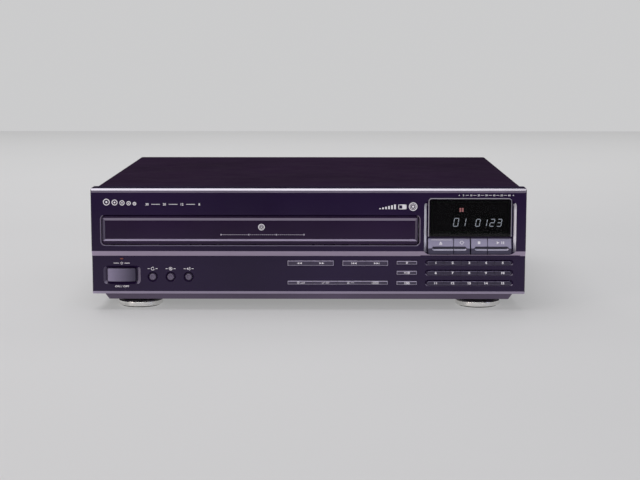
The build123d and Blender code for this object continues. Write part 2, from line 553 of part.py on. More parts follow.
# ---------------------------------------------------------------- feet
def foot(x, y):
    body = turned([(0, 1.2), (20.35, 1.2), (20.35, 7.6), (19.0, 8.2), (19.0, PAN_Z), (0, PAN_Z)], x, y)
    body -= cz(6.0, x, y, 0, 6.0)
    body -= cz(2.1, x, y, 0, PAN_Z + 1)
    pad = cz(20.0, x, y, 0.0, 1.2) - cz(6.0, x, y, -1, 3)
    return [body, pad]


def foot_ring(x, y):
    return turned([(20.4, 1.2), (22.2, 1.2), (FOOT_R, 1.9), (FOOT_R, 5.6), (22.3, 6.8), (21.5, 7.4), (20.4, 7.4)], x, y)


FEET = [(sx * FOOT_X, y) for y in (FOOT_YF, FOOT_YR) for sx in (-1, 1)]
put("feet", *[s for f in FEET for s in foot(*f)])
put("foot_rings", *[foot_ring(*f) for f in FEET])


# ---------------------------------------------------------------- screws
def screw(head_r, head_h, shank_r, shank_l):
    """Pan head screw along -Z from the underside of its head at the origin, head above."""
    h = Cylinder(head_r, head_h, align=(Align.CENTER, Align.CENTER, Align.MIN))
    h = fillet([e for e in h.edges() if abs(e.center().Z - head_h) < 1e-6], min(head_h * 0.75, head_r * 0.6))
    w, d = head_r * 0.34, head_h * 0.6
    cross = Box(head_r * 1.15, w, 2 * d) + Box(w, head_r * 1.15, 2 * d)
    h -= Pos(0, 0, head_h) * cross
    h += Cylinder(shank_r, shank_l, align=(Align.CENTER, Align.CENTER, Align.MAX))
    return h


m3 = screw(3.4, 1.9, 1.45, 7.0)
sc = []
for s in (-1, 1):
    for y in (-110.0, 120.0):
        sc.append(Pos(s * COVER_X, y, 32.0) * Rot(0, 90 * s, 0) * m3)
for x in (-186.0, 0.0, 186.0):
    sc.append(Pos(x, COVER_REAR_Y, 117.6) * Rot(-90, 0, 0) * m3)
for x in (-195.0, -84.0, 60.0, 120.0, 202.0):
    sc.append(Pos(x, REAR_Y + SHEET, 25.0) * Rot(-90, 0, 0) * m3)
for x in (INLET[0] - 17.5, INLET[0] + 17.5):
    sc.append(Pos(x, REAR_Y + SHEET + 2.2, INLET[1]) * Rot(-90, 0, 0) * m3)
for x, y in FEET:
    sc.append(Pos(x, y, 6.0) * Rot(180, 0, 0) * m3)
for x, y in LEGS:
    sc.append(Pos(x, y, PAN_Z) * Rot(180, 0, 0) * m3)
put("case_screws", *sc)

# ---------------------------------------------------------------- disc tray
XC, YC = TRAY_X, DISC_Y
TRAY_F, TRAY_B = -190.0, 172.0


def tray():
    # plate with two arms that reach to the rear
    p = bx(XC - TRAY_HALF, XC + TRAY_HALF, TRAY_F, TRAY_B, TRAY_BOT, TRAY_TOP)
    es = [e for e in p.edges().filter_by(Axis.Z) if e.center().Y > 0]
    p = fillet(es, 6.0)
    # guide tongues
    p += bx(XC - TONGUE_HALF, XC + TONGUE_HALF, TRAY_F + 26, TRAY_B - 8, 78.0, 81.0)
    # disc wells
    p -= cz(LD_R, XC, YC, LD_Z, TRAY_TOP + 1)
    p -= cz(MD_R, XC, YC, MD_Z, TRAY_TOP + 1)
    p -= cz(CD_R, XC, YC, CD_Z, TRAY_TOP + 1)
    p -= cz(SD_R, XC, YC, SD_Z, TRAY_TOP + 1)
    # spindle and pickup slot, open at the rear, wider behind the disc
    p -= cz(27.0, XC, YC, TRAY_BOT - 1, TRAY_TOP + 1)
    p -= bx(XC - 27.0, XC + 27.0, YC, TRAY_B + 1, TRAY_BOT - 1, TRAY_TOP + 1)
    p -= bx(XC - 34.0, XC + 34.0, 119.0, TRAY_B + 1, TRAY_BOT - 1, TRAY_TOP + 1)
    # scallops for fingers at both sides of the well
    for s in (-1, 1):
        p -= cz(15.0, XC + s * 138.0, -165.0, TRAY_TOP - 4.0, TRAY_TOP + 1)
    # weight-saving windows in the arms and the rear corners
    for s in (-1, 1):
        p -= bx(XC + s * 148.0, XC + s * 96.0, 132.0, 160.0, TRAY_BOT - 1, TRAY_TOP + 1)
        p -= bx(XC + s * 88.0, XC + s * 42.0, 132.0, 160.0, TRAY_BOT - 1, TRAY_TOP + 1)
    # soft-landing pads on the 30 cm well floor
    for ang in (25, 65, 115, 155, 205, 245, 295, 335):
        a = math.radians(ang)
        if abs(math.cos(a)) * 143.0 > 34.0:
            p += cz(3.0, XC + 143.5 * math.cos(a), YC + 143.5 * math.sin(a), LD_Z - 0.2, LD_Z + 0.6)
    # rack under the right side
    p += zprofile(rack_points(GEAR_M, RACK_X, RACK_X - 5.5, -170.0, 152.0, PINION[1]), 70.2, TRAY_BOT + 0.1)
    return p


put("tray", tray())


def tray_door():
    x0, x1, z0, z1 = -209.0, 110.9, 68.6, 97.3
    yf, yb = FRONT_Y + 0.3, -190.0
    d = rr(x0, x1, z0, z1, 3.0, yf, yb - yf)
    es = [e for e in d.edges() if abs(e.center().Y - yf) < 1e-6]
    d = chamfer(es, 0.5)
    # sunken face: long slope at the top, short ledge at the bottom
    sink = 1.7
    cut = loft([
        (Plane(origin=(0, yf, 0), x_dir=(1, 0, 0), z_dir=(0, 1, 0)) * (Pos((x0 + x1) / 2, -(95.4 + 72.0) / 2) * Rectangle(x1 - x0 - 2.4, 95.4 - 72.0))).face(),
        (Plane(origin=(0, yf + sink, 0), x_dir=(1, 0, 0), z_dir=(0, 1, 0)) * (Pos((x0 + x1) / 2, -(92.7 + 73.7) / 2) * Rectangle(x1 - x0 - 5.6, 92.7 - 73.7))).face(),
    ], ruled=True)
    d -= cut
    # hollow back with ribs
    d -= bx(x0 + 2.2, x1 - 2.2, yf + 4.2, yb + 1, 88.0, z1 - 2.2)
    for k in range(9):
        x = x0 + 2.2 + (x1 - x0 - 4.4) * (k + 1) / 10
        d += bx(x - 0.7, x + 0.7, yf + 4.0, yb, 87.8, z1 - 2.0)
    return d


put("tray_door", tray_door())

# ---------------------------------------------------------------- loading drive
pinion = zprofile(gear_points(GEAR_M, GEAR_N, *PINION), 70.4, 73.7)
pul = turned([(0, 61.0), (5.0, 61.0), (5.0, 63.0), (20.6, 63.0), (20.6, 63.8), (BIG_GROOVE_R, 64.6), (BIG_GROOVE_R, 66.0), (20.6, 66.8), (20.6, 67.6), (8.0, 67.6), (8.0, 70.6), (0, 70.6)], *PINION)
for k in range(5):
    a = 2 * math.pi * k / 5
    pul -= cz(3.6, PINION[0] + 12.8 * math.cos(a), PINION[1] + 12.8 * math.sin(a), 60, 68.5)
dg = pinion + pul
dg -= cz(2.06, PINION[0], PINION[1], 60, 75)
put("drive_gear", dg)

mp = turned([(0, 62.6), (4.8, 62.6), (4.8, 63.6), (SMALL_GROOVE_R, 64.5), (SMALL_GROOVE_R, 66.1), (4.8, 67.0), (4.8, 67.9), (0, 67.9)], *MOTOR_PULLEY)
mp -= cz(1.05, MOTOR_PULLEY[0], MOTOR_PULLEY[1], 60, 69)
put("motor_pulley", mp)


def belt():
    (xa, ya), (xb, yb) = PINION, MOTOR_PULLEY
    def loop(ra, rb):
        d = math.hypot(xb - xa, yb - ya)
        base = math.atan2(yb - ya, xb - xa)
        ph = math.acos((ra - rb) / d)
        pts = []
        for k in range(49):
            t = base + ph + (2 * math.pi - 2 * ph) * k / 48
            pts.append((xa + ra * math.cos(t), ya + ra * math.sin(t)))
        for k in range(17):
            t = base - ph + 2 * ph * k / 16
            pts.append((xb + rb * math.cos(t), yb + rb * math.sin(t)))
        return pts
    return zprofile(loop(BIG_GROOVE_R + 1.35, SMALL_GROOVE_R + 1.35), 64.7, 65.9) - zprofile(loop(BIG_GROOVE_R + 0.12, SMALL_GROOVE_R + 0.12), 64.0, 66.5)


put("loading_belt", belt())


def small_motor(x, y, z0):
    m = cz(12.0, x, y, z0, z0 + 24.0)
    m = fillet([e for e in m.edges() if abs(e.center().Z - (z0 + 24)) < 1e-6], 1.2)
    m += cz(3.2, x, y, z0 + 23.9, z0 + 25.2)
    m += cz(1.0, x, y, z0 + 25.0, z0 + 32.0)
    m += cz(4.0, x, y, z0 - 1.4, z0 + 0.1)
    for s in (-1, 1):
        m += bx(x + s * 6.5, x + s * 8.5, y - 1.0, y + 1.0, z0 - 3.2, z0 + 0.1)
    return m


put("loading_motor", small_motor(*MOTOR_PULLEY, 35.6))

# ---------------------------------------------------------------- spindle
sp = bx(XC - 22, XC + 22, YC - 22, YC + 22, 44.0, 45.6)
sp = fillet([e for e in sp.edges().filter_by(Axis.Z)], 5.0)
sp += cz(17.5, XC, YC, 45.5, 66.0)
sp = fillet([e for e in sp.edges() if abs(e.center().Z - 66.0) < 1e-6], 1.5)
sp += cz(6.0, XC, YC, 65.9, 70.0) + cz(1.5, XC, YC, 69.9, 82.0)
put("pickup_motors", sp, small_motor(*FEED_GEAR, 29.8))

tt = turned([(0, 73.0), (6.0, 73.0), (6.0, 77.4), (17.0, 77.4), (19.4, 78.6), (19.4, 81.7), (17.35, 81.7), (16.6, 83.2),
             (7.45, 83.2), (7.45, 84.8), (5.2, 87.2), (0, 87.2)], XC, YC)
tt -= turned([(0, 72.0), (1.56, 72.0), (1.56, 82.6), (0, 82.6)], XC, YC)
for k in range(6):
    a = math.pi * k / 3
    tt -= cz(1.6, XC + 11.8 * math.cos(a), YC + 11.8 * math.sin(a), 81.6, 84)
put("turntable", tt)

# ---------------------------------------------------------------- pickup
CY0, CY1 = DISC_Y + 20.3, DISC_Y + 56.3
car = bx(XC - 37.5, XC + 37.5, CY0, CY1, 50.0, 62.0)
car = fillet([e for e in car.edges().filter_by(Axis.Z)], 3.0)
car += bx(XC - 13.5, XC + 13.5, CY0, CY0 + 24, 61.9, 75.5)
car += bx(XC - 8.0, XC + 8.0, CY0, CY0 + 12, 75.4, 77.2)
car += bx(XC - 26.0, XC - 16.0, CY0 + 8, CY0 + 28, 61.9, 67.0)
car += zprofile(rack_points(FEED_M, FEED_RACK_X, XC + 36.5, FEED_GEAR[1] - 127.0, FEED_GEAR[1] + 6.5, FEED_GEAR[1]), 56.4, 59.8)
for s in (-1, 1):
    car -= cy(ROD_R + 0.07, XC + s * ROD_DX, ROD_Z, CY0 - 1, CY1 + 1)
car -= cz(3.75, XC, LENS_Y, 74.0, 78.0)
lens = turned([(0, 74.05), (3.6, 74.05), (3.6, 77.6), (2.6, 78.3), (1.4, 78.75), (0, 78.9)], XC, LENS_Y)
put("pickup_carriage", car, lens)

fg = zprofile(gear_points(FEED_M, FEED_N, *FEED_GEAR), 56.5, 59.7) + cz(4.0, *FEED_GEAR, 55.2, 61.6)
fg -= cz(1.06, *FEED_GEAR, 54, 63)
put("feed_gear", fg)

rods = [cy(ROD_R, XC + s * ROD_DX, ROD_Z, ROD_Y0, ROD_Y1) for s in (-1, 1)]


# ---------------------------------------------------------------- clamp
ARM_Y, ARM_Z = 162.0, 99.0


def clamp_arm():
    a = bx(XC - 26, XC + 26, YC - 30, 158.0, 100.0, 101.6)
    es = [e for e in a.edges().filter_by(Axis.Z) if e.center().Y < 0]
    a = fillet(es, 14.0)
    # stiffening ribs along the beam
    for s in (-1, 1):
        a += bx(XC + s * 24.4, XC + s * 26.0, YC - 12, 158.0, 97.0, 101.6)
        a += bx(XC + s * 9.0, XC + s * 11.5, YC + 30, 158.0, 101.5, 103.0)
    a += bx(XC - 157.6, XC + 157.6, 152.0, 168.0, 98.4, 101.6)
    a += cx(2.6, ARM_Y, ARM_Z, XC - 157.6, XC + 157.6)
    a += cx(2.0, ARM_Y, ARM_Z, XC - 162.0, XC + 162.0)
    a -= cz(8.2, XC, YC, 95, 105)
    for y in (30.0, 70.0, 110.0):
        a -= cz(5.5, XC, y, 95, 106)
    for s in (-1, 1):
        for d in (60.0, 105.0):
            a -= bx(XC + s * (d - 16), XC + s * (d + 16), 155.5, 158.2, 96, 104)
    return a


put("clamp_arm", clamp_arm())
cl = turned([(0, 85.4), (9.2, 89.8), (9.2, 85.4), (26.0, 85.4), (26.0, 88.6), (23.5, 91.6), (8.5, 92.6), (7.0, 93.4), (7.0, 102.4), (11.0, 102.4), (11.0, 104.0), (10.2, 104.8), (0, 104.8)][2:] + [(0, 89.8), (9.2, 89.8)], XC, YC)
put("clamper", cl)


# ---------------------------------------------------------------- mechanism frame
def mechanism_frame():
    xl, xr = XC - 159.2, XC + 159.2
    f = bx(xl, xr, -168.0, 170.0, 38.0, 40.0)
    # room for the pickup chassis, which swings through it
    f -= bx(XC - 92, XC + 92, -104, 156, 37, 41)
    # lightening windows
    for s in (-1, 1):
        for y0, y1 in ((-140, -40), (-20, 60), (80, 140)):
            f -= bx(XC + s * 106, XC + s * 138, y0 if s < 0 else max(y0, -100), y1, 37, 41)
    for s, x in ((-1, xl), (1, xr)):
        f += bx(x, x + s * 3.0, -168.0, 172.0, 38.0, 90.0)
        f += bx(x, x + s * 3.0, 150.0, 172.0, 89.9, 106.0)
        f += bx(x + 0.1 * s, x - s * 4.2, -168.0, 172.0, 74.6, 77.7)
        f += bx(x + 0.1 * s, x - s * 4.2, -168.0, 172.0, 81.3, 84.4)
        f -= cx(2.07, ARM_Y, ARM_Z, x - 4, x + 4)
        for y in (-120.0, -40.0, 40.0, 118.0):
            f -= bx(x - 4, x + 4, y - 24, y + 24, 46.0, 68.0)
    f += bx(xl, xr, -168.0, -165.0, 39.9, 56.0)
    f += bx(xl, xr, 169.0, 172.0, 38.0, 56.0)
    for x, y in LEGS:
        f += cz(6.0, x, y, PAN_Z + SHEET, 38.1)
        f -= cz(1.6, x, y, PAN_Z, PAN_Z + 12.0)
    # ears for the hinge of the pickup chassis
    for s in (-1, 1):
        f += bx(XC + s * 74.0, XC + s * 80.0, 156.0, 166.0, 39.9, 52.5)
        f -= cx(2.07, LIFT_Y, LIFT_Z, XC + s * 73, XC + s * 81)
    # post for the drive gear
    f += cz(5.0, *PINION, 39.9, 60.8) + cz(2.0, *PINION, 60.7, 73.8)
    # motor seat
    f += cz(15.0, *MOTOR_PULLEY, 37.9, 44.0)
    f -= cz(12.1, *MOTOR_PULLEY, 36.0, 60.0)
    return f


put("mechanism_frame", mechanism_frame())


def pickup_chassis():
    p = bx(XC - 84, XC + 84, -66.0, 152.0, 42.0, 44.0)
    p = fillet([e for e in p.edges().filter_by(Axis.Z) if e.center().Y < 0], 10.0)
    # openings in the plate
    p -= bx(XC - 24, XC + 24, 4, 138, 41, 45)
    for s in (-1, 1):
        p -= bx(XC + s * 50, XC + s * 76, -40, 10, 41, 45)
        p -= bx(XC + s * 70, XC + s * 76, 24, 60, 41, 45)
        p -= bx(XC + s * 46, XC + s * 76, 74, 138, 41, 45)
        # stiffening flanges
        p += bx(XC + s * 82.4, XC + s * 84.0, -52.0, 150.0, 43.9, 51.0)
    p += bx(XC - 70, XC + 70, -66.0, -64.4, 43.9, 49.0)
    # hinge lugs with pins
    for s in (-1, 1):
        p += bx(XC + s * 66.0, XC + s * 72.0, 140.0, LIFT_Y, 42.0, LIFT_Z)
        p += cx(5.0, LIFT_Y, LIFT_Z, XC + s * 66.0, XC + s * 72.0)
        p += cx(2.0, LIFT_Y, LIFT_Z, XC + s * 71.9, XC + s * 79.5)
    # rod blocks
    for s in (-1, 1):
        for y0, y1 in ((ROD_Y0, ROD_Y0 + 7.0), (ROD_Y1 - 5.0, ROD_Y1)):
            p += bx(XC + s * 28.0, XC + s * 36.0, y0, y1, 43.9, 61.0)
        p -= cy(ROD_R, XC + s * ROD_DX, ROD_Z, ROD_Y0, ROD_Y1)
    # feed motor seat
    p += cz(15.0, *FEED_GEAR, 41.9, 47.0)
    p -= cz(12.1, *FEED_GEAR, 36.0, 60.0)
    return p


put("pickup_chassis", pickup_chassis(), *rods)


# ---------------------------------------------------------------- power and main electronics
def transformer():
    x, y = 158.5, 130.0
    core = bx(x - 33, x + 33, y - 14, y + 14, 16.0, 71.0)
    core -= bx(x - 22, x - 11, y - 15, y + 15, 27.0, 60.0) + bx(x + 11, x + 22, y - 15, y + 15, 27.0, 60.0)
    coil = bx(x - 21.8, x + 21.8, y - 26, y + 26, 27.2, 59.8) - bx(x - 11.0, x + 11.0, y - 14, y + 14, 26, 61)
    coil -= bx(x - 22, x - 11, y - 40, y + 40, 0, 10)
    coil = fillet([e for e in coil.edges().filter_by(Axis.Z) if abs(abs(e.center().X - x) - 21.8) < 1e-6], 4.0)
    br = bx(x - 43, x + 43, y - 13, y + 13, PAN_Z + SHEET, PAN_Z + SHEET + 1.5)
    for s in (-1, 1):
        br += bx(x + s * 33.0, x + s * 34.5, y - 13, y + 13, PAN_Z + SHEET, 72.5)
        br -= cz(2.1, x + s * 39.0, y, PAN_Z, 16)
    br += bx(x - 34.5, x + 34.5, y - 13, y + 13, 71.0, 72.5)
    sole = bx(x - 33, x + 33, y - 13, y + 13, PAN_Z + SHEET + 1.5, 16.0)
    return [core, coil, br, sole]


put("power_transformer", *transformer())


def main_board():
    z0, z1 = 20.0, 21.6
    pcb = bx(119.0, 209.0, -150.0, 92.0, z0, z1) + bx(-118.0, 116.0, 108.0, 177.0, z0, z1) + bx(60.0, 124.0, 60.0, 140.0, z0, z1)
    for x, y in LEGS:
        pcb -= cz(7.5, x, y, 15, 25)
    # cut round the socket block, which stands on the board edge
    out = []
    spots = [(124.0, -144.0), (196.0, -144.0), (196.0, 86.0), (124.0, 20.0), (-112.0, 114.0), (-112.0, 171.0), (0.0, 171.0), (110.0, 114.0)]
    for x, y in spots:
        pcb -= cz(1.8, x, y, 15, 25)
        out.append(cz(3.4, x, y, PAN_Z + SHEET, z0) - cz(1.2, x, y, PAN_Z, 25))
    parts = [pcb] + out
    # integrated circuits
    for x, y, w, d in ((150.0, -110.0, 26, 26), (186.0, -118.0, 14, 22), (150.0, -60.0, 20, 20), (184.0, -66.0, 20, 12),
                       (184.0, -40.0, 26, 9), (-70.0, 130.0, 24, 24), (-10.0, 132.0, 30, 10), (80.0, 124.0, 18, 18)):
        parts.append(bx(x - w / 2, x + w / 2, y - d / 2, y + d / 2, z1, z1 + 2.4))
    # electrolytic capacitors
    for x, y, r, h in ((140.0, 60.0, 11.0, 30.0), (168.0, 62.0, 11.0, 30.0), (192.0, 60.0, 8.0, 24.0), (140.0, 30.0, 6.3, 18.0),
                       (160.0, 34.0, 5.0, 14.0), (176.0, 28.0, 5.0, 14.0), (-40.0, 160.0, 5.0, 12.0), (-90.0, 160.0, 5.0, 12.0),
                       (16.0, 150.0, 4.0, 10.0), (76.0, 168.0, 4.0, 10.0)):
        c = cz(r, x, y, z1, z1 + h)
        parts.append(fillet([e for e in c.edges() if abs(e.center().Z - (z1 + h)) < 1e-6], 0.8))
    # finned heat sink with two regulators
    hs = bx(126.0, 206.0, -6.0, -3.5, z1, 70.0)
    for k in range(11):
        x = 128.0 + 7.6 * k
        hs += bx(x - 0.7, x + 0.7, -3.6, 8.0, z1 + 2, 70.0)
    parts.append(hs)
    for x in (150.0, 182.0):
        parts.append(bx(x - 5, x + 5, -10.5, -6.0, z1 + 6, z1 + 22))
    # shielded radio-frequency can and connectors
    parts.append(bx(28.0, 62.0, 140.0, 172.0, z1, z1 + 13.0))
    for x, y, w, d in ((124.0, -100.0, 5, 26), (124.0, -60.0, 5, 20), (196.0, 10.0, 18, 6), (-100.0, 120.0, 6, 20), (20.0, 113.0, 30, 6)):
        parts.append(bx(x - w / 2, x + w / 2, y - d / 2, y + d / 2, z1, z1 + 7.0))
    return parts


put("main_board", *main_board())

# ---------------------------------------------------------------- write
for name, shape in nodes.items():
    solids = as_solids(shape)
    out = solids[0] if len(solids) == 1 else Compound(children=solids)
    export_step(out, "parts/%s.step" % name)
    print(name, len(solids), round(sum(s.volume for s in solids)))
print("nodes", len(nodes))
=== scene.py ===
import bpy
import bmesh
import math
from mathutils import Matrix, Vector


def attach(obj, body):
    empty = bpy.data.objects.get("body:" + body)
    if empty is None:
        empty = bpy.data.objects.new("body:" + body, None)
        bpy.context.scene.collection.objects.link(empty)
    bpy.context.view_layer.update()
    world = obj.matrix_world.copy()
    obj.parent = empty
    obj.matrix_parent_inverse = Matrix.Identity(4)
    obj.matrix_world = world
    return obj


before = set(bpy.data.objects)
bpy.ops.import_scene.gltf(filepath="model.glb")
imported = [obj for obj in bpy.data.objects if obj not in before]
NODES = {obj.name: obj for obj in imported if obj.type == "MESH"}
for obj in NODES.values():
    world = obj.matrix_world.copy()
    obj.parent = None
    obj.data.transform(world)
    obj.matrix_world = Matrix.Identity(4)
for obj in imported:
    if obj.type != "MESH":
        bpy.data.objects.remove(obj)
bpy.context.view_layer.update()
MM = 0.001
scene = bpy.context.scene

# ------------------------------------------------------------------ camera, first
CAM = Vector((0.0217, -1.708, 0.2820))
PITCH, YAW = math.radians(7.874), math.radians(0.38)
cam_data = bpy.data.cameras.new("camera")
cam_data.sensor_width = 36.0
cam_data.sensor_fit = "HORIZONTAL"
cam_data.lens = 36.0 * 1506.5 / 640.0
cam_data.clip_start, cam_data.clip_end = 0.05, 60.0
cam = bpy.data.objects.new("camera", cam_data)
cam.location = CAM
cam.rotation_euler = (math.pi / 2 - PITCH, 0.0, YAW)
scene.collection.objects.link(cam)
scene.camera = cam
scene.view_settings.view_transform = "Standard"
scene.view_settings.look = "None"


# ------------------------------------------------------------------ node helpers
class Mat:
    """One procedural material, built from small node calls."""

    def __init__(self, name):
        self.m = bpy.data.materials.new(name)
        self.m.use_nodes = True
        self.nt = self.m.node_tree
        self.nt.nodes.clear()
        self.out = self.nt.nodes.new("ShaderNodeOutputMaterial")
        self.b = self.nt.nodes.new("ShaderNodeBsdfPrincipled")
        self.nt.links.new(self.b.outputs[0], self.out.inputs[0])
        self._obj = None

    def put(self, sock, v):
        if isinstance(v, bpy.types.NodeSocket):
            self.nt.links.new(v, sock)
        elif isinstance(v, (tuple, list)) and len(v) == 3 and sock.type == "RGBA":
            sock.default_value = (*v, 1.0)
        else:
            sock.default_value = v

    def set(self, **kw):
        names = {"color": "Base Color", "rough": "Roughness", "metal": "Metallic", "spec": "Specular IOR Level",
                 "ior": "IOR", "coat": "Coat Weight", "coat_rough": "Coat Roughness", "coat_ior": "Coat IOR",
                 "trans": "Transmission Weight", "normal": "Normal", "emit": "Emission Color", "emit_s": "Emission Strength",
                 "sheen": "Sheen Weight", "aniso": "Anisotropic", "alpha": "Alpha", "sss": "Subsurface Weight"}
        for k, v in kw.items():
            self.put(self.b.inputs[names[k]], v)
        return self

    def node(self, kind, **props):
        n = self.nt.nodes.new(kind)
        for k, v in props.items():
            setattr(n, k, v)
        return n

    def obj(self):
        if self._obj is None:
            self._obj = self.node("ShaderNodeTexCoord").outputs["Object"]
        return self._obj

    def axis(self, i):
        s = self.node("ShaderNodeSeparateXYZ")
        self.put(s.inputs[0], self.obj())
        return s.outputs[i]

    def scaled(self, x, y, z, vec=None):
        n = self.node("ShaderNodeMapping")
        self.put(n.inputs["Vector"], vec or self.obj())
        n.inputs["Scale"].default_value = (x, y, z)
        return n.outputs[0]

    def noise(self, scale, detail=2.0, rough=0.5, vec=None, distortion=0.0):
        n = self.node("ShaderNodeTexNoise")
        self.put(n.inputs["Vector"], vec or self.obj())
        n.inputs["Scale"].default_value = scale
        n.inputs["Detail"].default_value = detail
        n.inputs["Roughness"].default_value = rough
        n.inputs["Distortion"].default_value = distortion
        return n.outputs[0]

    def voronoi(self, scale, feature="F1", vec=None, out="Distance", rand=1.0):
        n = self.node("ShaderNodeTexVoronoi", feature=feature)
        self.put(n.inputs["Vector"], vec or self.obj())
        n.inputs["Scale"].default_value = scale
        n.inputs["Randomness"].default_value = rand
        return n.outputs[out]

    def wave(self, scale, axis="X", vec=None, distortion=0.0, detail=0.0):
        n = self.node("ShaderNodeTexWave", wave_type="BANDS", bands_direction=axis)
        self.put(n.inputs["Vector"], vec or self.obj())
        n.inputs["Scale"].default_value = scale
        n.inputs["Distortion"].default_value = distortion
        n.inputs["Detail"].default_value = detail
        return n.outputs[1]

    def math(self, op, a, b=0.0, clamp=False):
        n = self.node("ShaderNodeMath", operation=op, use_clamp=clamp)
        self.put(n.inputs[0], a)
        if len(n.inputs) > 1:
            self.put(n.inputs[1], b)
        return n.outputs[0]

    def between(self, v, lo, hi, soft):
        """1 while v is between lo and hi, with soft edges."""
        a = self.span(v, lo - soft / 2, lo + soft / 2, 0.0, 1.0)
        b = self.span(v, hi - soft / 2, hi + soft / 2, 1.0, 0.0)
        return self.math("MULTIPLY", a, b)

    def span(self, v, lo, hi, a, b):
        n = self.node("ShaderNodeMapRange", clamp=True)
        self.put(n.inputs["Value"], v)
        n.inputs["From Min"].default_value = lo
        n.inputs["From Max"].default_value = hi
        n.inputs["To Min"].default_value = a
        n.inputs["To Max"].default_value = b
        return n.outputs[0]

    def mix(self, fac, a, b):
        n = self.node("ShaderNodeMix", data_type="RGBA")
        self.put(n.inputs["Factor"], fac)
        self.put(n.inputs[6], a)
        self.put(n.inputs[7], b)
        return n.outputs[2]

    def bump(self, height, strength=0.3, dist=0.0002, normal=None):
        n = self.node("ShaderNodeBump")
        n.inputs["Strength"].default_value = strength
        n.inputs["Distance"].default_value = dist
        self.put(n.inputs["Height"], height)
        if normal is not None:
            self.put(n.inputs["Normal"], normal)
        return n.outputs[0]

    def bevel(self, radius, samples=4):
        n = self.node("ShaderNodeBevel", samples=samples)
        n.inputs["Radius"].default_value = radius
        return n.outputs[0]

    def edge(self, radius=0.0006, gain=6.0):
        """0 on flat faces, up to 1 on outer and inner edges."""
        bv = self.bevel(radius)
        g = self.node("ShaderNodeNewGeometry")
        d = self.node("ShaderNodeVectorMath", operation="DOT_PRODUCT")
        self.put(d.inputs[0], bv)
        self.put(d.inputs[1], g.outputs["Normal"])
        one = self.math("SUBTRACT", 1.0, d.outputs["Value"])
        return self.math("MULTIPLY", one, gain, clamp=True)


def grain_plastic(name, color, light=None, rough=0.36, grain=0.10, spec=0.5, edge_gain=0.0, edge_color=None, var=0.25, bevel_r=0.0003, coat=0.0, coat_rough=0.1):
    """Moulded plastic: slow tone drift, fine moulded grain, faint handling marks in the gloss; the optional edge mix
    paints a lighter colour on edges, a painted edge highlight.
    """
    m = Mat(name)
    drift = m.noise(9.0, 3.0)
    c0 = tuple(v * (1 - var) for v in color)
    c1 = tuple(v * (1 + var) for v in color)
    col = m.mix(m.span(drift, 0.3, 0.7, 0.0, 1.0), c0, c1)
    # Painted edge highlight: a lighter colour mixed in on edges.
    if edge_gain > 0:
        col = m.mix(m.math("MULTIPLY", m.edge(0.0005, 5.0), edge_gain), col, edge_color or tuple(min(1, v * 3) for v in color))
    fine = m.noise(2600.0, 2.0)
    smear = m.noise(26.0, 4.0, 0.6)
    r = m.span(smear, 0.25, 0.75, rough * 0.86, rough * 1.18)
    nrm = m.bump(fine, grain, 0.00006, m.bevel(bevel_r))
    m.set(color=col, rough=r, spec=spec, normal=nrm)
    if coat:
        m.set(coat=coat, coat_rough=coat_rough)
    return m


def textured_paint(name, color, rough=0.5, cell=1100.0, depth=0.35, spec=0.4, var=0.2):
    """Baked texture paint on sheet metal: small rounded pebbles with slight wear and dust."""
    m = Mat(name)
    v = m.voronoi(cell, "SMOOTH_F1")
    n = m.noise(cell * 2.3, 3.0)
    h = m.math("ADD", m.math("MULTIPLY", v, 0.7), m.math("MULTIPLY", n, 0.3))
    drift = m.noise(7.0, 4.0)
    speck = m.noise(cell * 0.9, 1.0)
    c0 = tuple(x * (1 - var) for x in color)
    c1 = tuple(x * (1 + var) for x in color)
    col = m.mix(m.span(drift, 0.3, 0.7, 0.0, 1.0), c0, c1)
    col = m.mix(m.math("MULTIPLY", m.span(speck, 0.45, 0.75, 0.0, 1.0), 0.35), col, tuple(x * 1.9 for x in color))
    r = m.span(m.noise(34.0, 4.0, 0.6), 0.25, 0.75, rough * 0.9, rough * 1.12)
    m.set(color=col, rough=r, spec=spec, normal=m.bump(h, depth, 0.00012, m.bevel(0.0004)))
    return m


def sheet_metal(name, color, rough=0.34, spangle=90.0, brush=None, var=0.10, depth=0.12):
    """Plated or bare sheet metal: spangle or brushing, stains, and rounded cut edges."""
    m = Mat(name)
    cells = m.voronoi(spangle, "F1", out="Color")
    stain = m.noise(16.0, 4.0, 0.6)
    c0 = tuple(x * (1 - var) for x in color)
    c1 = tuple(min(1.0, x * (1 + var)) for x in color)
    sep = m.node("ShaderNodeSeparateColor")
    m.put(sep.inputs[0], cells)
    col = m.mix(sep.outputs[0], c0, c1)
    col = m.mix(m.span(stain, 0.5, 0.8, 0.0, 0.35), col, tuple(x * 0.62 for x in color))
    r = m.span(m.noise(40.0, 3.0), 0.3, 0.7, rough * 0.8, rough * 1.25)
    h = m.noise(700.0, 3.0) if brush is None else m.noise(1.0, 3.0, vec=m.scaled(*brush))
    m.set(color=col, metal=1.0, rough=r, normal=m.bump(h, depth, 0.00008, m.bevel(0.0003)))
    return m


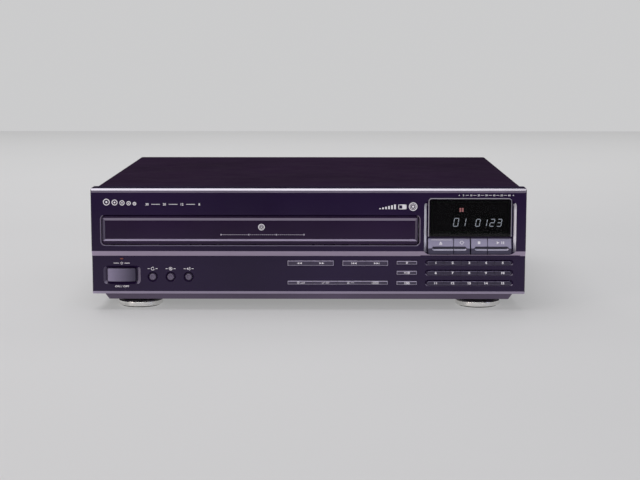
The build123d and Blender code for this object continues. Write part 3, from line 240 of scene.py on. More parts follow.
# ------------------------------------------------------------------ finishes
def panel_plastic(name, color, rough=0.20, spec=0.30, drift_amp=0.22):
    """Front moulding: satin plastic with a fine moulded grain, faint flow streaks and handling marks."""
    m = Mat(name)
    drift = m.noise(5.0, 3.0)
    col = m.mix(m.span(drift, 0.3, 0.7, 0.0, 1.0), tuple(v * (1 - drift_amp) for v in color), tuple(v * (1 + drift_amp) for v in color))
    streak = m.noise(1.0, 3.0, vec=m.scaled(30.0, 30.0, 3600.0))
    fine = m.noise(2400.0, 2.0)
    dust = m.span(m.noise(900.0, 2.0), 0.68, 0.80, 0.0, 0.5)
    col = m.mix(dust, col, tuple(v * 2.2 for v in color))
    r = m.span(m.noise(22.0, 4.0, 0.6), 0.25, 0.75, rough * 0.88, rough * 1.15)
    h = m.math("ADD", m.math("MULTIPLY", fine, 0.6), m.math("MULTIPLY", streak, 0.4))
    m.set(color=col, rough=r, spec=spec, normal=m.bump(h, 0.08, 0.00006, m.bevel(0.00035)))
    return m


def metallic_trim(name, color, rough=0.25, metal=1.0, streaks=True):
    """Satin metallised strip: fine lengthwise brushing, small scuffs in the gloss. In this script it only makes lighter
    copies of darker mouldings for facets, edges and recess walls: painted highlights and painted reflections.
    """
    m = Mat(name)
    line = m.noise(1.0, 3.0, vec=m.scaled(24.0, 2600.0, 2600.0)) if streaks else m.noise(1800.0, 3.0)
    scuff = m.noise(38.0, 4.0, 0.65)
    col = m.mix(m.span(line, 0.3, 0.7, 0.0, 1.0), tuple(v * 0.93 for v in color), tuple(min(1.0, v * 1.07) for v in color))
    col = m.mix(m.span(scuff, 0.62, 0.8, 0.0, 0.25), col, tuple(v * 0.7 for v in color))
    m.set(color=col, metal=metal, rough=m.span(scuff, 0.25, 0.75, rough * 0.85, rough * 1.2), normal=m.bump(line, 0.08, 0.00004, m.bevel(0.0003)))
    return m


M = {}
PANEL = (0.0155, 0.0064, 0.0340)
M["panel"] = panel_plastic("panel_plastic", PANEL)
# Lighter copies of the panel colour for its facets: painted highlights on the two top edge facets, painted reflections
# of the floor on the band, the bottom chamfer and the skirt.
M["panel_edge"] = metallic_trim("panel_edge", (0.42, 0.40, 0.44), 0.20)
M["panel_edge_low"] = metallic_trim("panel_edge_low", (0.160, 0.135, 0.190), 0.34, metal=0.7)
M["band"] = metallic_trim("panel_band", (0.48, 0.395, 0.53), 0.34)
M["chamfer"] = metallic_trim("panel_chamfer", (0.50, 0.43, 0.58), 0.34)
M["skirt"] = panel_plastic("panel_skirt", (0.085, 0.062, 0.110), 0.30, 0.5)


def bay_trim():
    """Painted highlight on the display bay's walls left and right of the window: near-white satin colour that fades out
    towards both ends.
    """
    m = Mat("bay_trim")
    fine = m.noise(1800.0, 3.0)
    scuff = m.noise(38.0, 4.0, 0.65)
    # Painted highlight mask: full over the middle of the walls, falling back to a dark tone at the top and bottom.
    fade = m.between(m.axis(2), 0.0655, 0.1100, 0.0130)
    lit = m.mix(m.span(scuff, 0.62, 0.8, 0.0, 0.25), (0.94, 0.92, 1.0), (0.70, 0.68, 0.78))
    m.set(color=m.mix(fade, (0.055, 0.045, 0.085), lit), metal=0.1, rough=m.span(scuff, 0.25, 0.75, 0.26, 0.36),
          normal=m.bump(fine, 0.08, 0.00004, m.bevel(0.0003)))
    return m


M["bright"] = bay_trim()
# Lighter copies for the walls and up-facing faces of the recesses and the lip of the tray opening: painted highlights,
# the third one a weaker painted highlight.
M["bright_soft"] = metallic_trim("dish_trim", (0.24, 0.21, 0.29), 0.30, metal=0.2, streaks=False)
M["dim"] = metallic_trim("dish_dim", (0.115, 0.095, 0.150), 0.34, metal=0.3, streaks=False)
M["lip"] = metallic_trim("lip_trim", (0.24, 0.20, 0.28), 0.34, metal=0.3, streaks=False)
M["door"] = panel_plastic("door_plastic", (0.0180, 0.0068, 0.0310), 0.18)
# Lighter copies of the door plastic: painted reflection of the floor on the top bevel, painted highlight on the bottom
# bevel.
M["door_bevel"] = metallic_trim("door_bevel", (0.34, 0.29, 0.39), 0.34)
M["door_bevel_low"] = metallic_trim("door_bevel_low", (0.225, 0.195, 0.265), 0.34)
M["cover"] = textured_paint("cover_paint", (0.0178, 0.0068, 0.0235), rough=0.75, spec=0.02)
M["chassis"] = textured_paint("chassis_paint", (0.020, 0.015, 0.026), rough=0.42, cell=1500.0, depth=0.2)
M["rear"] = textured_paint("rear_paint", (0.018, 0.012, 0.022), rough=0.45, cell=1500.0, depth=0.22)
M["key"] = grain_plastic("key_plastic", (0.040, 0.029, 0.062), rough=0.30)
# Lighter copies on the keys' chamfers: painted edge highlights, for the single, mode and rocker keys and for the number
# keys.
M["key_edge"] = metallic_trim("key_edge", (0.52, 0.47, 0.62), 0.30, metal=0.3, streaks=False)
M["number"] = grain_plastic("number_key_plastic", (0.022, 0.014, 0.040), rough=0.30)
M["number_edge"] = metallic_trim("number_key_edge", (0.15, 0.13, 0.21), 0.30, metal=0.3, streaks=False)
# Transport keys: the leaning upper facet gets a much lighter copy (painted highlight), the groove a darker one (painted
# shade) and the groove's up-facing lip a near-white one (painted highlight); the lower facet keeps the keys' own tone.
M["transport"] = grain_plastic("transport_plastic", (0.290, 0.270, 0.390), rough=0.34)
M["transport_low"] = grain_plastic("transport_low", (0.040, 0.033, 0.070), rough=0.34)
M["transport_groove"] = grain_plastic("transport_groove", (0.022, 0.018, 0.040), rough=0.34)
M["transport_lip"] = metallic_trim("transport_lip", (0.72, 0.70, 0.86), 0.34, metal=0.1, streaks=False)


def power_cap():
    """Power button: satin metallic lacquer with painted shading, lighter on the left and darker on the right, and light
    finger wear.
    """
    m = Mat("power_plastic")
    # Painted shading across the cap: lighter to the left, darker to the right.
    side = m.span(m.axis(0), -0.204, -0.178, 0.0, 1.0)
    wear = m.noise(60.0, 4.0, 0.6)
    col = m.mix(side, (0.235, 0.205, 0.310), (0.046, 0.036, 0.070))
    col = m.mix(m.span(wear, 0.55, 0.8, 0.0, 0.25), col, (0.10, 0.09, 0.13))
    m.set(color=col, rough=m.span(wear, 0.25, 0.75, 0.28, 0.38), spec=0.45, normal=m.bump(m.noise(2400.0, 2.0), 0.08, 0.00005, m.bevel(0.0003)))
    return m


M["power"] = power_cap()
M["round"] = grain_plastic("round_plastic", (0.130, 0.105, 0.165), rough=0.30)


def window_material():
    m = Mat("window_plastic")
    smear = m.noise(30.0, 4.0, 0.6)
    r = m.span(smear, 0.3, 0.8, 0.015, 0.05)
    m.set(color=(0.13, 0.13, 0.135), rough=r, trans=0.965, ior=1.28, normal=m.bump(m.noise(60.0, 2.0), 0.02, 0.00005, m.bevel(0.0003)))
    return m


M["window"] = window_material()
# Lighter copy on the window's front edge chamfers: painted highlight.
M["window_edge"] = grain_plastic("window_edge", (0.30, 0.28, 0.34), rough=0.30, spec=0.6)


def print_material(name="legend_white", color=(0.88, 0.85, 0.90)):
    m = Mat(name)
    n = m.noise(5200.0, 2.0)
    m.set(color=m.mix(m.span(n, 0.35, 0.65, 0.0, 1.0), tuple(v * 0.82 for v in color), color), rough=0.55, spec=0.3,
          normal=m.bump(n, 0.15, 0.00003))
    return m


M["print"] = print_material()
M["print_dim"] = print_material("legend_dim", (0.50, 0.46, 0.56))


def glow_material(name, color, strength, base=(0.02, 0.02, 0.02)):
    m = Mat(name)
    n = m.noise(3000.0, 2.0)
    e = m.mix(m.span(n, 0.3, 0.7, 0.0, 1.0), tuple(v * 0.85 for v in color), color)
    m.set(color=base, rough=0.4, emit=e, emit_s=strength)
    return m


M["digit"] = glow_material("lit_segment", (0.84, 0.91, 1.0), 3.0)
M["red"] = glow_material("lit_indicator", (1.0, 0.40, 0.40), 2.9)
M["lamp"] = glow_material("lamp_lens", (1.0, 0.25, 0.12), 0.05, (0.16, 0.045, 0.035))


def ring_material():
    m = Mat("ring_metal")
    lines = m.noise(1.0, 3.0, vec=m.scaled(60.0, 60.0, 5200.0))
    r = m.span(m.noise(60.0, 3.0), 0.3, 0.7, 0.16, 0.30)
    m.set(color=m.mix(m.noise(30.0, 2.0), (0.86, 0.85, 0.83), (0.93, 0.92, 0.90)), metal=1.0, rough=r,
          normal=m.bump(lines, 0.10, 0.00004, m.bevel(0.0004)))
    return m


M["ring"] = ring_material()
M["rubber"] = grain_plastic("foot_rubber", (0.010, 0.010, 0.011), rough=0.62, grain=0.25, spec=0.3)
M["screw"] = sheet_metal("screw_steel", (0.10, 0.10, 0.11), rough=0.32, spangle=400.0)
M["zinc"] = sheet_metal("frame_steel", (0.58, 0.60, 0.62), rough=0.34, spangle=130.0)
M["can"] = sheet_metal("motor_steel", (0.62, 0.62, 0.64), rough=0.28, spangle=500.0, brush=(90.0, 90.0, 4200.0))
M["cast"] = sheet_metal("carriage_metal", (0.42, 0.42, 0.44), rough=0.46, spangle=600.0, depth=0.3)
M["rod"] = sheet_metal("rod_steel", (0.82, 0.82, 0.84), rough=0.12, spangle=900.0, brush=(4000.0, 60.0, 4000.0), depth=0.05)
M["acetal"] = grain_plastic("gear_plastic", (0.66, 0.64, 0.57), rough=0.34, var=0.05, grain=0.06)
# The tray's lighter edges are a painted edge highlight.
M["tray"] = grain_plastic("tray_plastic", (0.0125, 0.0115, 0.0145), rough=0.46, grain=0.35, edge_gain=0.35, edge_color=(0.06, 0.055, 0.07))
M["clamp"] = grain_plastic("clamper_plastic", (0.018, 0.017, 0.020), rough=0.40, grain=0.2)
M["belt"] = grain_plastic("belt_rubber", (0.012, 0.012, 0.012), rough=0.7, grain=0.3, spec=0.25)
M["socket"] = grain_plastic("socket_plastic", (0.012, 0.012, 0.013), rough=0.42, grain=0.15)
M["gold"] = sheet_metal("contact_plate", (0.80, 0.62, 0.32), rough=0.20, spangle=900.0)
M["nickel"] = sheet_metal("shell_plate", (0.72, 0.71, 0.68), rough=0.22, spangle=900.0)


def simple(name, color, rough=0.45, grain=0.15, **kw):
    return grain_plastic(name, color, rough=rough, grain=grain, **kw)


M["white_ins"] = simple("insert_white", (0.62, 0.61, 0.57), var=0.04)
M["red_ins"] = simple("insert_red", (0.45, 0.02, 0.02), var=0.08)
M["yellow_ins"] = simple("insert_yellow", (0.62, 0.45, 0.03), var=0.06)
M["ic"] = simple("package_black", (0.014, 0.014, 0.015), rough=0.5, grain=0.4)
M["cap_blue"] = simple("sleeve_blue", (0.018, 0.030, 0.085), rough=0.28)
M["cap_black"] = simple("sleeve_black", (0.012, 0.012, 0.013), rough=0.28)
M["coil_tape"] = simple("coil_tape", (0.55, 0.38, 0.06), rough=0.32, grain=0.3)
M["connector"] = simple("connector_white", (0.60, 0.58, 0.50), rough=0.45, var=0.05)
M["alu_black"] = sheet_metal("heat_sink", (0.06, 0.06, 0.065), rough=0.42, spangle=700.0, brush=(60.0, 60.0, 3000.0))


def board_material():
    """Circuit board: green solder mask, tracks as slightly raised paler runs and tinned pads."""
    m = Mat("board")
    v = m.scaled(1.0, 1.0, 1.0)
    cell = m.voronoi(150.0, "DISTANCE_TO_EDGE", vec=v, rand=0.75)
    track = m.span(cell, 0.10, 0.16, 1.0, 0.0)
    w1 = m.wave(95.0, "X", vec=v, distortion=2.2, detail=2.0)
    runs = m.span(w1, 0.62, 0.72, 0.0, 1.0)
    tr = m.math("MAXIMUM", m.math("MULTIPLY", track, 0.8), m.math("MULTIPLY", runs, 0.55))
    col = m.mix(tr, (0.012, 0.060, 0.022), (0.030, 0.150, 0.055))
    pads = m.span(m.voronoi(260.0, "F1", rand=0.6), 0.17, 0.22, 1.0, 0.0)
    col = m.mix(pads, col, (0.55, 0.55, 0.52))
    m.set(color=col, rough=m.span(pads, 0.0, 1.0, 0.34, 0.22), metal=m.math("MULTIPLY", pads, 0.8),
          normal=m.bump(m.math("MAXIMUM", tr, pads), 0.35, 0.00010, m.bevel(0.0003)))
    return m


M["board"] = board_material()


def laminate_material():
    m = Mat("transformer_iron")
    w = m.wave(320.0, "Y")
    rust = m.noise(55.0, 4.0, 0.6)
    col = m.mix(m.span(w, 0.0, 1.0, 0.0, 1.0), (0.045, 0.044, 0.044), (0.12, 0.115, 0.11))
    col = m.mix(m.span(rust, 0.55, 0.8, 0.0, 0.6), col, (0.12, 0.055, 0.030))
    m.set(color=col, metal=0.75, rough=0.5, normal=m.bump(w, 0.5, 0.0001, m.bevel(0.0003)))
    return m


M["laminate"] = laminate_material()


def tube_material():
    """Display tube: dark glass face over a fine grid."""
    m = Mat("tube_glass")
    gx = m.wave(900.0, "X")
    grid = m.span(gx, 0.80, 0.95, 0.0, 1.0)
    col = m.mix(m.math("MULTIPLY", grid, 0.5), (0.020, 0.024, 0.025), (0.060, 0.066, 0.066))
    m.set(color=col, rough=m.span(m.noise(40.0, 2.0), 0.3, 0.7, 0.05, 0.10), spec=0.5, normal=m.bump(grid, 0.05, 0.00004, m.bevel(0.0003)))
    return m


M["tube"] = tube_material()


# ------------------------------------------------------------------ give the CAD nodes their finish
def dress(name, *mats):
    o = NODES[name]
    o.data.materials.clear()
    for k in mats:
        o.data.materials.append(M[k].m)
    return o


def dress_by(name, keys, pick):
    """pick(x, y, z in mm, normal) gives the index of the material for a face."""
    o = dress(name, *keys)
    me = o.data
    for p in me.polygons:
        c = p.center
        p.material_index = pick(c.x * 1000, c.y * 1000, c.z * 1000, p.normal)
    return o




# Sorts the front panel faces by position and facing: the top edge facets and the opening lip get painted highlights,
# the band, bottom chamfer and skirt painted reflections of the floor, the bay walls and the recess walls and up-facing
# recess faces painted highlights; the rest is plain panel.
def panel_pick(x, y, z, n):
    if y < -195.0 and n.y < -0.3 and n.z > 0.15 and z > 121.2:
        return 1 if z > 123.35 else (2 if y < -197.0 else 0)
    if 56.45 < z < 61.65 and y < -195.1 and n.z < -0.3 and n.y < -0.5:
        return 3
    if 17.0 < z < 20.05 and y < -192.5 and n.z < -0.4 and n.y < -0.3:
        return 4
    if 10.7 < z < 17.2 and (n.y < -0.5 or abs(n.x) > 0.5) and (y < -187.0 or abs(x) > 203.0):
        return 5
    if y < -195.03:
        if 115.0 < x < 213.0 and z > 56.5:
            return 6 if abs(n.x) > 0.6 and abs(n.z) < 0.35 else 0
        if -211.0 < x < 113.4 and 66.8 < z < 99.0 and -198.0 < y < -196.95 and -0.95 < n.y < -0.3:
            return 8 if abs(n.x) > 0.3 else (9 if n.z > 0 else 0)
    if -195.19 < y < -192.6:
        if -209.0 < x < -170.5 and 26.5 < z < 46.8:
            if (x > -176.0 and n.x < -0.35 and n.z > -0.5) or (abs(n.x) > 0.25 and n.z > 0.3):
                return 7
            if x < -205.0 and n.x > 0.35:
                return 9
        if 118.0 < x < 208.4 and z < 53.0 and n.z > 0.3:
            return 7 if abs(n.x) > 0.25 else 9
    return 0


dress_by("front_panel", ("panel", "panel_edge", "panel_edge_low", "band", "chamfer", "skirt", "bright", "bright_soft", "lip", "dim"), panel_pick)
# Door bevel faces get the painted reflection copy (top, facing down) and the painted highlight copy (bottom, facing
# up).
dress_by("tray_door", ("door", "door_bevel", "door_bevel_low"), lambda x, y, z, n: (1 if n.z < 0 and z > 84 else 2) if (
    -197.65 < y < -196.05 and -0.96 < n.y < -0.2 and 71.5 < z < 95.9) else 0)
dress("top_cover", "cover")
dress("base_chassis", "chassis")
dress("rear_panel", "rear")
# Front edge chamfer faces of the window get the painted highlight copy.
dress_by("display_window", ("window", "window_edge"), lambda x, y, z, n: 1 if (y < -197.2 and -0.96 < n.y < -0.3) else 0)
dress("foot_rings", "ring")
dress("feet", "rubber")
dress("case_screws", "screw")
dress("tray", "tray")
dress("drive_gear", "acetal")
dress("motor_pulley", "acetal")
dress("feed_gear", "acetal")
dress("loading_belt", "belt")
dress("loading_motor", "can")
dress("power_inlet", "socket")
dress("clamp_arm", "zinc")
dress("mechanism_frame", "zinc")
dress_by("pickup_chassis", ("zinc", "rod"), lambda x, y, z, n: 1 if (abs(abs(x + 48.6) - 32.0) < 2.02 and abs(z - 56.0) < 2.02 and -39.2 < y < 147.2) else 0)
dress("turntable", "clamp")
dress("clamper", "clamp")

KEYS = ["number_key_%02d" % (i + 1) for i in range(15)]
SINGLES = ["random_key", "plus_ten_key", "hundred_key"]
MODES = ["display_key", "check_key", "clear_key", "program_key"]
ROCKERS = ["search_rocker", "skip_rocker"]


# Chamfer faces and key ends get the lighter edge copy: a painted edge highlight.
def key_pick(x, y, z, n):
    if y > -195.3 or not -0.96 < n.y < -0.25:
        return 0
    ends = (-21.3, -21.2, 25.5, 34.6, 80.7, 89.7, 110.1, 120.8, 205.6)
    return 1 if abs(n.x) < 0.3 or min(abs(x - e) for e in ends) < 1.6 else 0


for n in KEYS:
    dress_by(n, ("number", "number_edge"), key_pick)
for n in SINGLES + MODES + ROCKERS:
    dress_by(n, ("key", "key_edge"), key_pick)


# Sorts transport key faces: up-facing groove faces get the painted highlight, other groove faces the painted shade, the
# lower facet the own tone, the upper facet the painted highlight copy.
def transport_pick(x, y, z, n):
    if 62.4 < z < 67.4 and y > -199.95 and (y > -198.4 or n.y > -0.88 or abs(n.x) > 0.3) and y < -197.0:
        if n.z > 0.35:
            return 3
        return 2
    if z < 64.95:
        return 1
    return 0


for n in ("open_close_key", "disc_side_key", "stop_key", "play_pause_key"):
    dress_by(n, ("transport", "transport_low", "transport_groove", "transport_lip"), transport_pick)
dress("power_button", "power")
for n in ("repeat_button", "auto_button", "monitor_button"):
    dress(n, "round")

dress_by("display_tube", ("tube", "nickel"), lambda x, y, z, n: 1 if z < 81.9 else 0)
dress_by("pickup_motors", ("can", "zinc", "rod"), lambda x, y, z, n: 2 if (z > 70.2 and abs(x + 48.6) < 3) else (1 if z < 45.7 and abs(y + 32) < 23 and abs(x + 48.6) < 23 else 0))
dress_by("pickup_carriage", ("cast", "acetal", "ic", "window"), lambda x, y, z, n: 1 if (x > -12.0 and z < 60.0 and z > 56.2) else (3 if (abs(x + 48.6) < 3.7 and abs(y + 7.5) < 3.7 and z > 77.25) else (2 if z > 62.2 else 0)))


def front_board_pick(x, y, z, n):
    if y > -180.85 and y < -172.5:
        return 1
    if y < -182.55:
        if abs(x + 190.0) < 1.6 and abs(z - 53.4) < 0.8:
            return 3
        return 2 if y < -186.0 else 1
    return 0


dress_by("front_board", ("board", "ic", "connector", "lamp"), front_board_pick)

CAPS = ((140.0, 60.0, 11.0, 30.0), (168.0, 62.0, 11.0, 30.0), (192.0, 60.0, 8.0, 24.0), (140.0, 30.0, 6.3, 18.0), (160.0, 34.0, 5.0, 14.0),
        (176.0, 28.0, 5.0, 14.0), (-40.0, 160.0, 5.0, 12.0), (-90.0, 160.0, 5.0, 12.0), (16.0, 150.0, 4.0, 10.0), (76.0, 168.0, 4.0, 10.0))


def main_board_pick(x, y, z, n):
    if z < 19.99:
        return 4
    for cx, cy, r, h in CAPS:
        if math.hypot(x - cx, y - cy) < r + 0.05 and z > 21.65:
            if n.z > 0.5 and z > 21.6 + h - 0.5:
                return 5
            return 2 if r > 6 else 3
    if z <= 21.65:
        return 0
    if 125.9 < x < 206.1 and -6.1 < y < 8.1:
        return 6
    if 27.9 < x < 62.1 and 139.9 < y < 172.1:
        return 4
    if abs(z - 21.6) < 7.2 and ((121 < x < 127 and (y < -50)) or (187 < x < 205 and 7 < y < 13) or (-103 < x < -97 and 110 < y < 130) or (5 < x < 35 and 110 < y < 116)):
        return 7
    return 1


dress_by("main_board", ("board", "ic", "cap_blue", "cap_black", "nickel", "can", "alu_black", "connector"), main_board_pick)


def transformer_pick(x, y, z, n):
    if z < 16.05 or z > 71.05 or abs(x - 158.5) > 33.02:
        return 2
    if 27.1 < z < 59.9 and abs(x - 158.5) < 21.9 and (abs(y - 130.0) > 14.05 or abs(x - 158.5) > 11.05):
        return 1
    return 0


dress_by("power_transformer", ("laminate", "coil_tape", "zinc"), transformer_pick)

RCA = [(x, z) for x in (-58.0, -42.0, -26.0) for z in (29.0, 45.0)]


def socket_pick(x, y, z, n):
    for i, (a, b) in enumerate(RCA):
        r = math.hypot(x - a, z - b)
        if r < 5.45 and y > 192.45:
            if r < 3.18 and y < 199.3 and y > 193.9:
                if r < 1.65:
                    return 2
                return (5 if a < -50 else (3 if z > 37 else 4))
            return 1
    if 72 < x < 84 and y > 189.0:
        return 1
    return 0


dress_by("rear_sockets", ("socket", "nickel", "gold", "white_ins", "red_ins", "yellow_ins"), socket_pick)


# ------------------------------------------------------------------ small made pieces
def mesh_object(name, verts, faces, mat, body, smooth=False):
    me = bpy.data.meshes.new(name)
    me.from_pydata([tuple(v) for v in verts], [], faces)
    me.update()
    bm = bmesh.new()
    bm.from_mesh(me)
    bmesh.ops.remove_doubles(bm, verts=bm.verts, dist=1e-7)
    bmesh.ops.recalc_face_normals(bm, faces=bm.faces)
    bm.to_mesh(me)
    bm.free()
    if smooth:
        for p in me.polygons:
            p.use_smooth = True
    o = bpy.data.objects.new(name, me)
    scene.collection.objects.link(o)
    o.data.materials.append(M[mat].m)
    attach(o, body)
    return o


class Face:
    """A flat or leaning face on the front, seen from the front: gives 3-D points for (x, z) marks on it."""

    def __init__(self, y, z_ref=None, slope=0.0):
        self.y, self.z0, self.s = y, z_ref or 0.0, slope

    def at(self, x, z, lift):
        y = self.y + (z - self.z0) * self.s
        k = math.hypot(1.0, self.s)
        return Vector(((x) * MM, (y - lift / k) * MM, (z + lift * self.s / k) * MM))


UP = Face(-198.0)
LOW = Face(-195.2)
THICK = 0.05


def slab(verts, faces, poly, face, thick=THICK, sink=0.03):
    """Adds one closed thin slab with outline poly [(x, z)] on face."""
    n = len(poly)
    b = len(verts)
    for x, z in poly:
        verts.append(face.at(x, z, thick))
    for x, z in poly:
        verts.append(face.at(x, z, -sink))
    faces.append(list(range(b, b + n)))
    faces.append(list(range(b + 2 * n - 1, b + n - 1, -1)))
    for i in range(n):
        j = (i + 1) % n
        faces.append([b + i, b + n + i, b + n + j, b + j])


def ring_slab(verts, faces, outer, inner, face, thick=THICK, sink=0.03):
    """A closed slab with a hole: outer and inner outlines with the same number of points."""
    n = len(outer)
    b = len(verts)
    for loop, lift in ((outer, thick), (inner, thick), (outer, -sink), (inner, -sink)):
        for x, z in loop:
            verts.append(face.at(x, z, lift))
    for i in range(n):
        j = (i + 1) % n
        faces.append([b + i, b + j, b + n + j, b + n + i])
        faces.append([b + 2 * n + i, b + 3 * n + i, b + 3 * n + j, b + 2 * n + j])
        faces.append([b + i, b + 2 * n + i, b + 2 * n + j, b + j])
        faces.append([b + n + i, b + n + j, b + 3 * n + j, b + 3 * n + i])


def circle(cx, cz, r, n=28, a0=0.0, a1=360.0):
    return [(cx + r * math.cos(math.radians(a0 + (a1 - a0) * k / n)), cz + r * math.sin(math.radians(a0 + (a1 - a0) * k / n))) for k in range(n)]


def rect(x0, x1, z0, z1):
    return [(x0, z0), (x1, z0), (x1, z1), (x0, z1)]


class Print:
    """Collects flat marks for one printed piece."""

    def __init__(self, face):
        self.v, self.f, self.face = [], [], face

    def poly(self, pts):
        slab(self.v, self.f, pts, self.face)
        return self

    def bar(self, x0, x1, z0, z1):
        return self.poly(rect(x0, x1, z0, z1))

    def dot(self, x, z, r):
        return self.poly(circle(x, z, r, 20))

    def ring(self, x, z, r, w):
        ring_slab(self.v, self.f, circle(x, z, r), circle(x, z, r - w), self.face)
        return self

    def arc(self, x, z, r, w, a0, a1, n=20):
        outer = [(x + r * math.cos(math.radians(a0 + (a1 - a0) * k / n)), z + r * math.sin(math.radians(a0 + (a1 - a0) * k / n))) for k in range(n + 1)]
        inner = [(x + (r - w) * math.cos(math.radians(a0 + (a1 - a0) * k / n)), z + (r - w) * math.sin(math.radians(a0 + (a1 - a0) * k / n))) for k in range(n, -1, -1)]
        return self.poly(outer + inner)

    def tri(self, x, z, w, h, to=1):
        """A triangle pointing to +x (to=1), -x (to=-1) or up (to=0)."""
        if to == 0:
            return self.poly([(x - w / 2, z - h / 2), (x + w / 2, z - h / 2), (x, z + h / 2)])
        return self.poly([(x - to * w / 2, z - h / 2), (x + to * w / 2, z), (x - to * w / 2, z + h / 2)])

    def line(self, x0, z0, x1, z1, w):
        d = math.hypot(x1 - x0, z1 - z0)
        nx, nz = -(z1 - z0) / d * w / 2, (x1 - x0) / d * w / 2
        return self.poly([(x0 + nx, z0 + nz), (x1 + nx, z1 + nz), (x1 - nx, z1 - nz), (x0 - nx, z0 - nz)])

    def text(self, s, x, z, height, align="CENTER", spacing=1.0, width=1.0, bold=0.022):
        """Figures and plain signs, cap height in mm, centred on z."""
        cu = bpy.data.curves.new("t", "FONT")
        cu.body = s
        cu.align_x = align
        cu.space_character = spacing
        cu.size = 1.0
        cu.resolution_u = 3
        cu.offset = bold
        o = bpy.data.objects.new("t", cu)
        scene.collection.objects.link(o)
        bpy.context.view_layer.update()
        dg = bpy.context.evaluated_depsgraph_get()
        me = bpy.data.meshes.new_from_object(o.evaluated_get(dg))
        k = height / 0.69
        bm = bmesh.new()
        bm.from_mesh(me)
        bmesh.ops.remove_doubles(bm, verts=bm.verts, dist=1e-5)
        b = len(self.v)
        idx = {}
        vs = list(bm.verts)
        for i, v in enumerate(vs):
            idx[v.index] = i
            self.v.append(self.face.at(x + v.co.x * k * width, z + (v.co.y - 0.345) * k, THICK))
        n = len(vs)
        for v in vs:
            self.v.append(self.face.at(x + v.co.x * k * width, z + (v.co.y - 0.345) * k, -0.03))
        for f in bm.faces:
            ids = [idx[v.index] for v in f.verts]
            self.f.append([b + i for i in ids])
            self.f.append([b + n + i for i in reversed(ids)])
        for e in bm.edges:
            if len(e.link_faces) == 1:
                i, j = (idx[v.index] for v in e.verts)
                self.f.append([b + i, b + j, b + n + j, b + n + i])
        bm.free()
        bpy.data.objects.remove(o)
        bpy.data.curves.remove(cu)
        bpy.data.meshes.remove(me)
        return self

    def make(self, name, body, mat="print"):
        return mesh_object(name, self.v, self.f, mat, body)


# upper face: row of disc-size rings, disc sizes in cm, and a minute scale over the display
p = Print(UP)
x = -207.4
for r in (3.4, 3.0, 2.6, 2.2, 1.8):
    p.ring(x + r, 108.2 + r, r, 0.8)
    p.dot(x + r, 108.2 + r, r * 0.3)
    x += 2 * r + 1.9
p.make("legend_disc_sizes", "case")
p = Print(UP)
for i, t in enumerate(("30", "20", "12", "8")):
    p.text(t, -163.0 + 17.6 * i, 109.4, 2.3)
    if i < 3:
        p.bar(-158.6 + 17.6 * i, -149.8 + 17.6 * i, 109.15, 109.65)
p.make("legend_sizes", "case")
p = Print(UP)
for i in range(7):
    p.text(str(i * 10), 156.2 + 7.7 * i, 118.7, 1.7)
    if i < 6:
        p.bar(158.4 + 7.7 * i, 161.6 + 7.7 * i, 118.5, 118.9)
p.dot(152.0, 118.7, 0.55).dot(206.4, 118.7, 0.55)
p.make("legend_minutes", "case")
# feature marks between tray and display, plain signs only
p = Print(UP)
p.ring(105.6, 107.2, 4.3, 0.9).ring(105.6, 107.2, 2.7, 0.5).dot(105.6, 107.2, 1.2)
p.bar(90.6, 99.0, 104.4, 105.2).bar(90.6, 99.0, 108.6, 109.4).bar(90.6, 91.4, 104.4, 109.4).bar(98.2, 99.0, 104.4, 109.4).bar(94.6, 98.2, 105.2, 108.6)
for i in range(6):
    p.bar(71.4 + 3.0 * i, 73.2 + 3.0 * i, 104.6, 105.6 + 0.75 * i)
p.make("legend_feature", "case")

# lower face: small marks over the power button and the round buttons
p = Print(LOW)
p.arc(-190.0, 48.9, 1.25, 0.42, 125, 415).bar(-190.2, -189.8, 49.0, 50.5)
p.bar(-198.2, -192.8, 48.6, 49.2).bar(-187.2, -181.8, 48.6, 49.2)
p.text("ON / OFF", -190.0, 25.0, 1.75, width=1.35)
p.make("legend_power", "case")
p = Print(LOW)
for x, kind in ((-158.6, 0), (-140.3, 1), (-122.0, 2)):  # repeat, automatic, monitor
    if kind == 0:
        p.arc(x, 43.2, 1.8, 0.5, 40, 320).tri(x + 1.5, 42.6, 1.5, 1.5, 1)
    elif kind == 1:
        p.ring(x, 43.2, 1.8, 0.5).dot(x, 43.2, 0.7)
    else:
        p.tri(x - 1.2, 43.2, 1.8, 2.6, -1).arc(x - 0.6, 43.2, 1.5, 0.42, -50, 50, 8).arc(x - 0.6, 43.2, 2.5, 0.42, -50, 50, 8)
    p.bar(x - 5.0, x - 3.0, 42.9, 43.5).bar(x + 3.0, x + 5.0, 42.9, 43.5)
p.make("legend_round", "case")

# keys: figures and signs, each on its own key
KF = Face(-196.05)
rows = {1: (47.9, 51.3), 2: (37.4, 41.1), 3: (26.9, 30.5)}
for row, (za, zb) in rows.items():
    for col in range(5):
        k = (row - 1) * 5 + col + 1
        a = 120.8 + 84.8 / 5 * col
        name = "number_key_%02d" % k
        Print(KF).text(str(k), a + 8.48, (za + zb) / 2, 2.15, width=1.25, bold=0.05).make("legend_" + name, name)
Print(KF).text("0", 99.9, 49.6, 2.0, width=1.3, bold=0.05).make("legend_random_key", "random_key")
Print(KF).text("+10", 99.9, 39.25, 2.0, width=1.3, bold=0.05).make("legend_plus_ten_key", "plus_ten_key")
Print(KF).text("100", 99.9, 28.7, 2.0, width=1.3, bold=0.05).make("legend_hundred_key", "hundred_key")
zc = 29.0
w = 102.0 / 4
c = [-21.3 + w * (i + 0.5) for i in range(4)]
p = Print(KF)
p.ring(c[0] - 2.0, zc, 1.15, 0.36).bar(c[0] - 2.15, c[0] - 1.85, zc, zc + 0.75).bar(c[0] - 2.0, c[0] - 1.4, zc - 0.14, zc + 0.14)
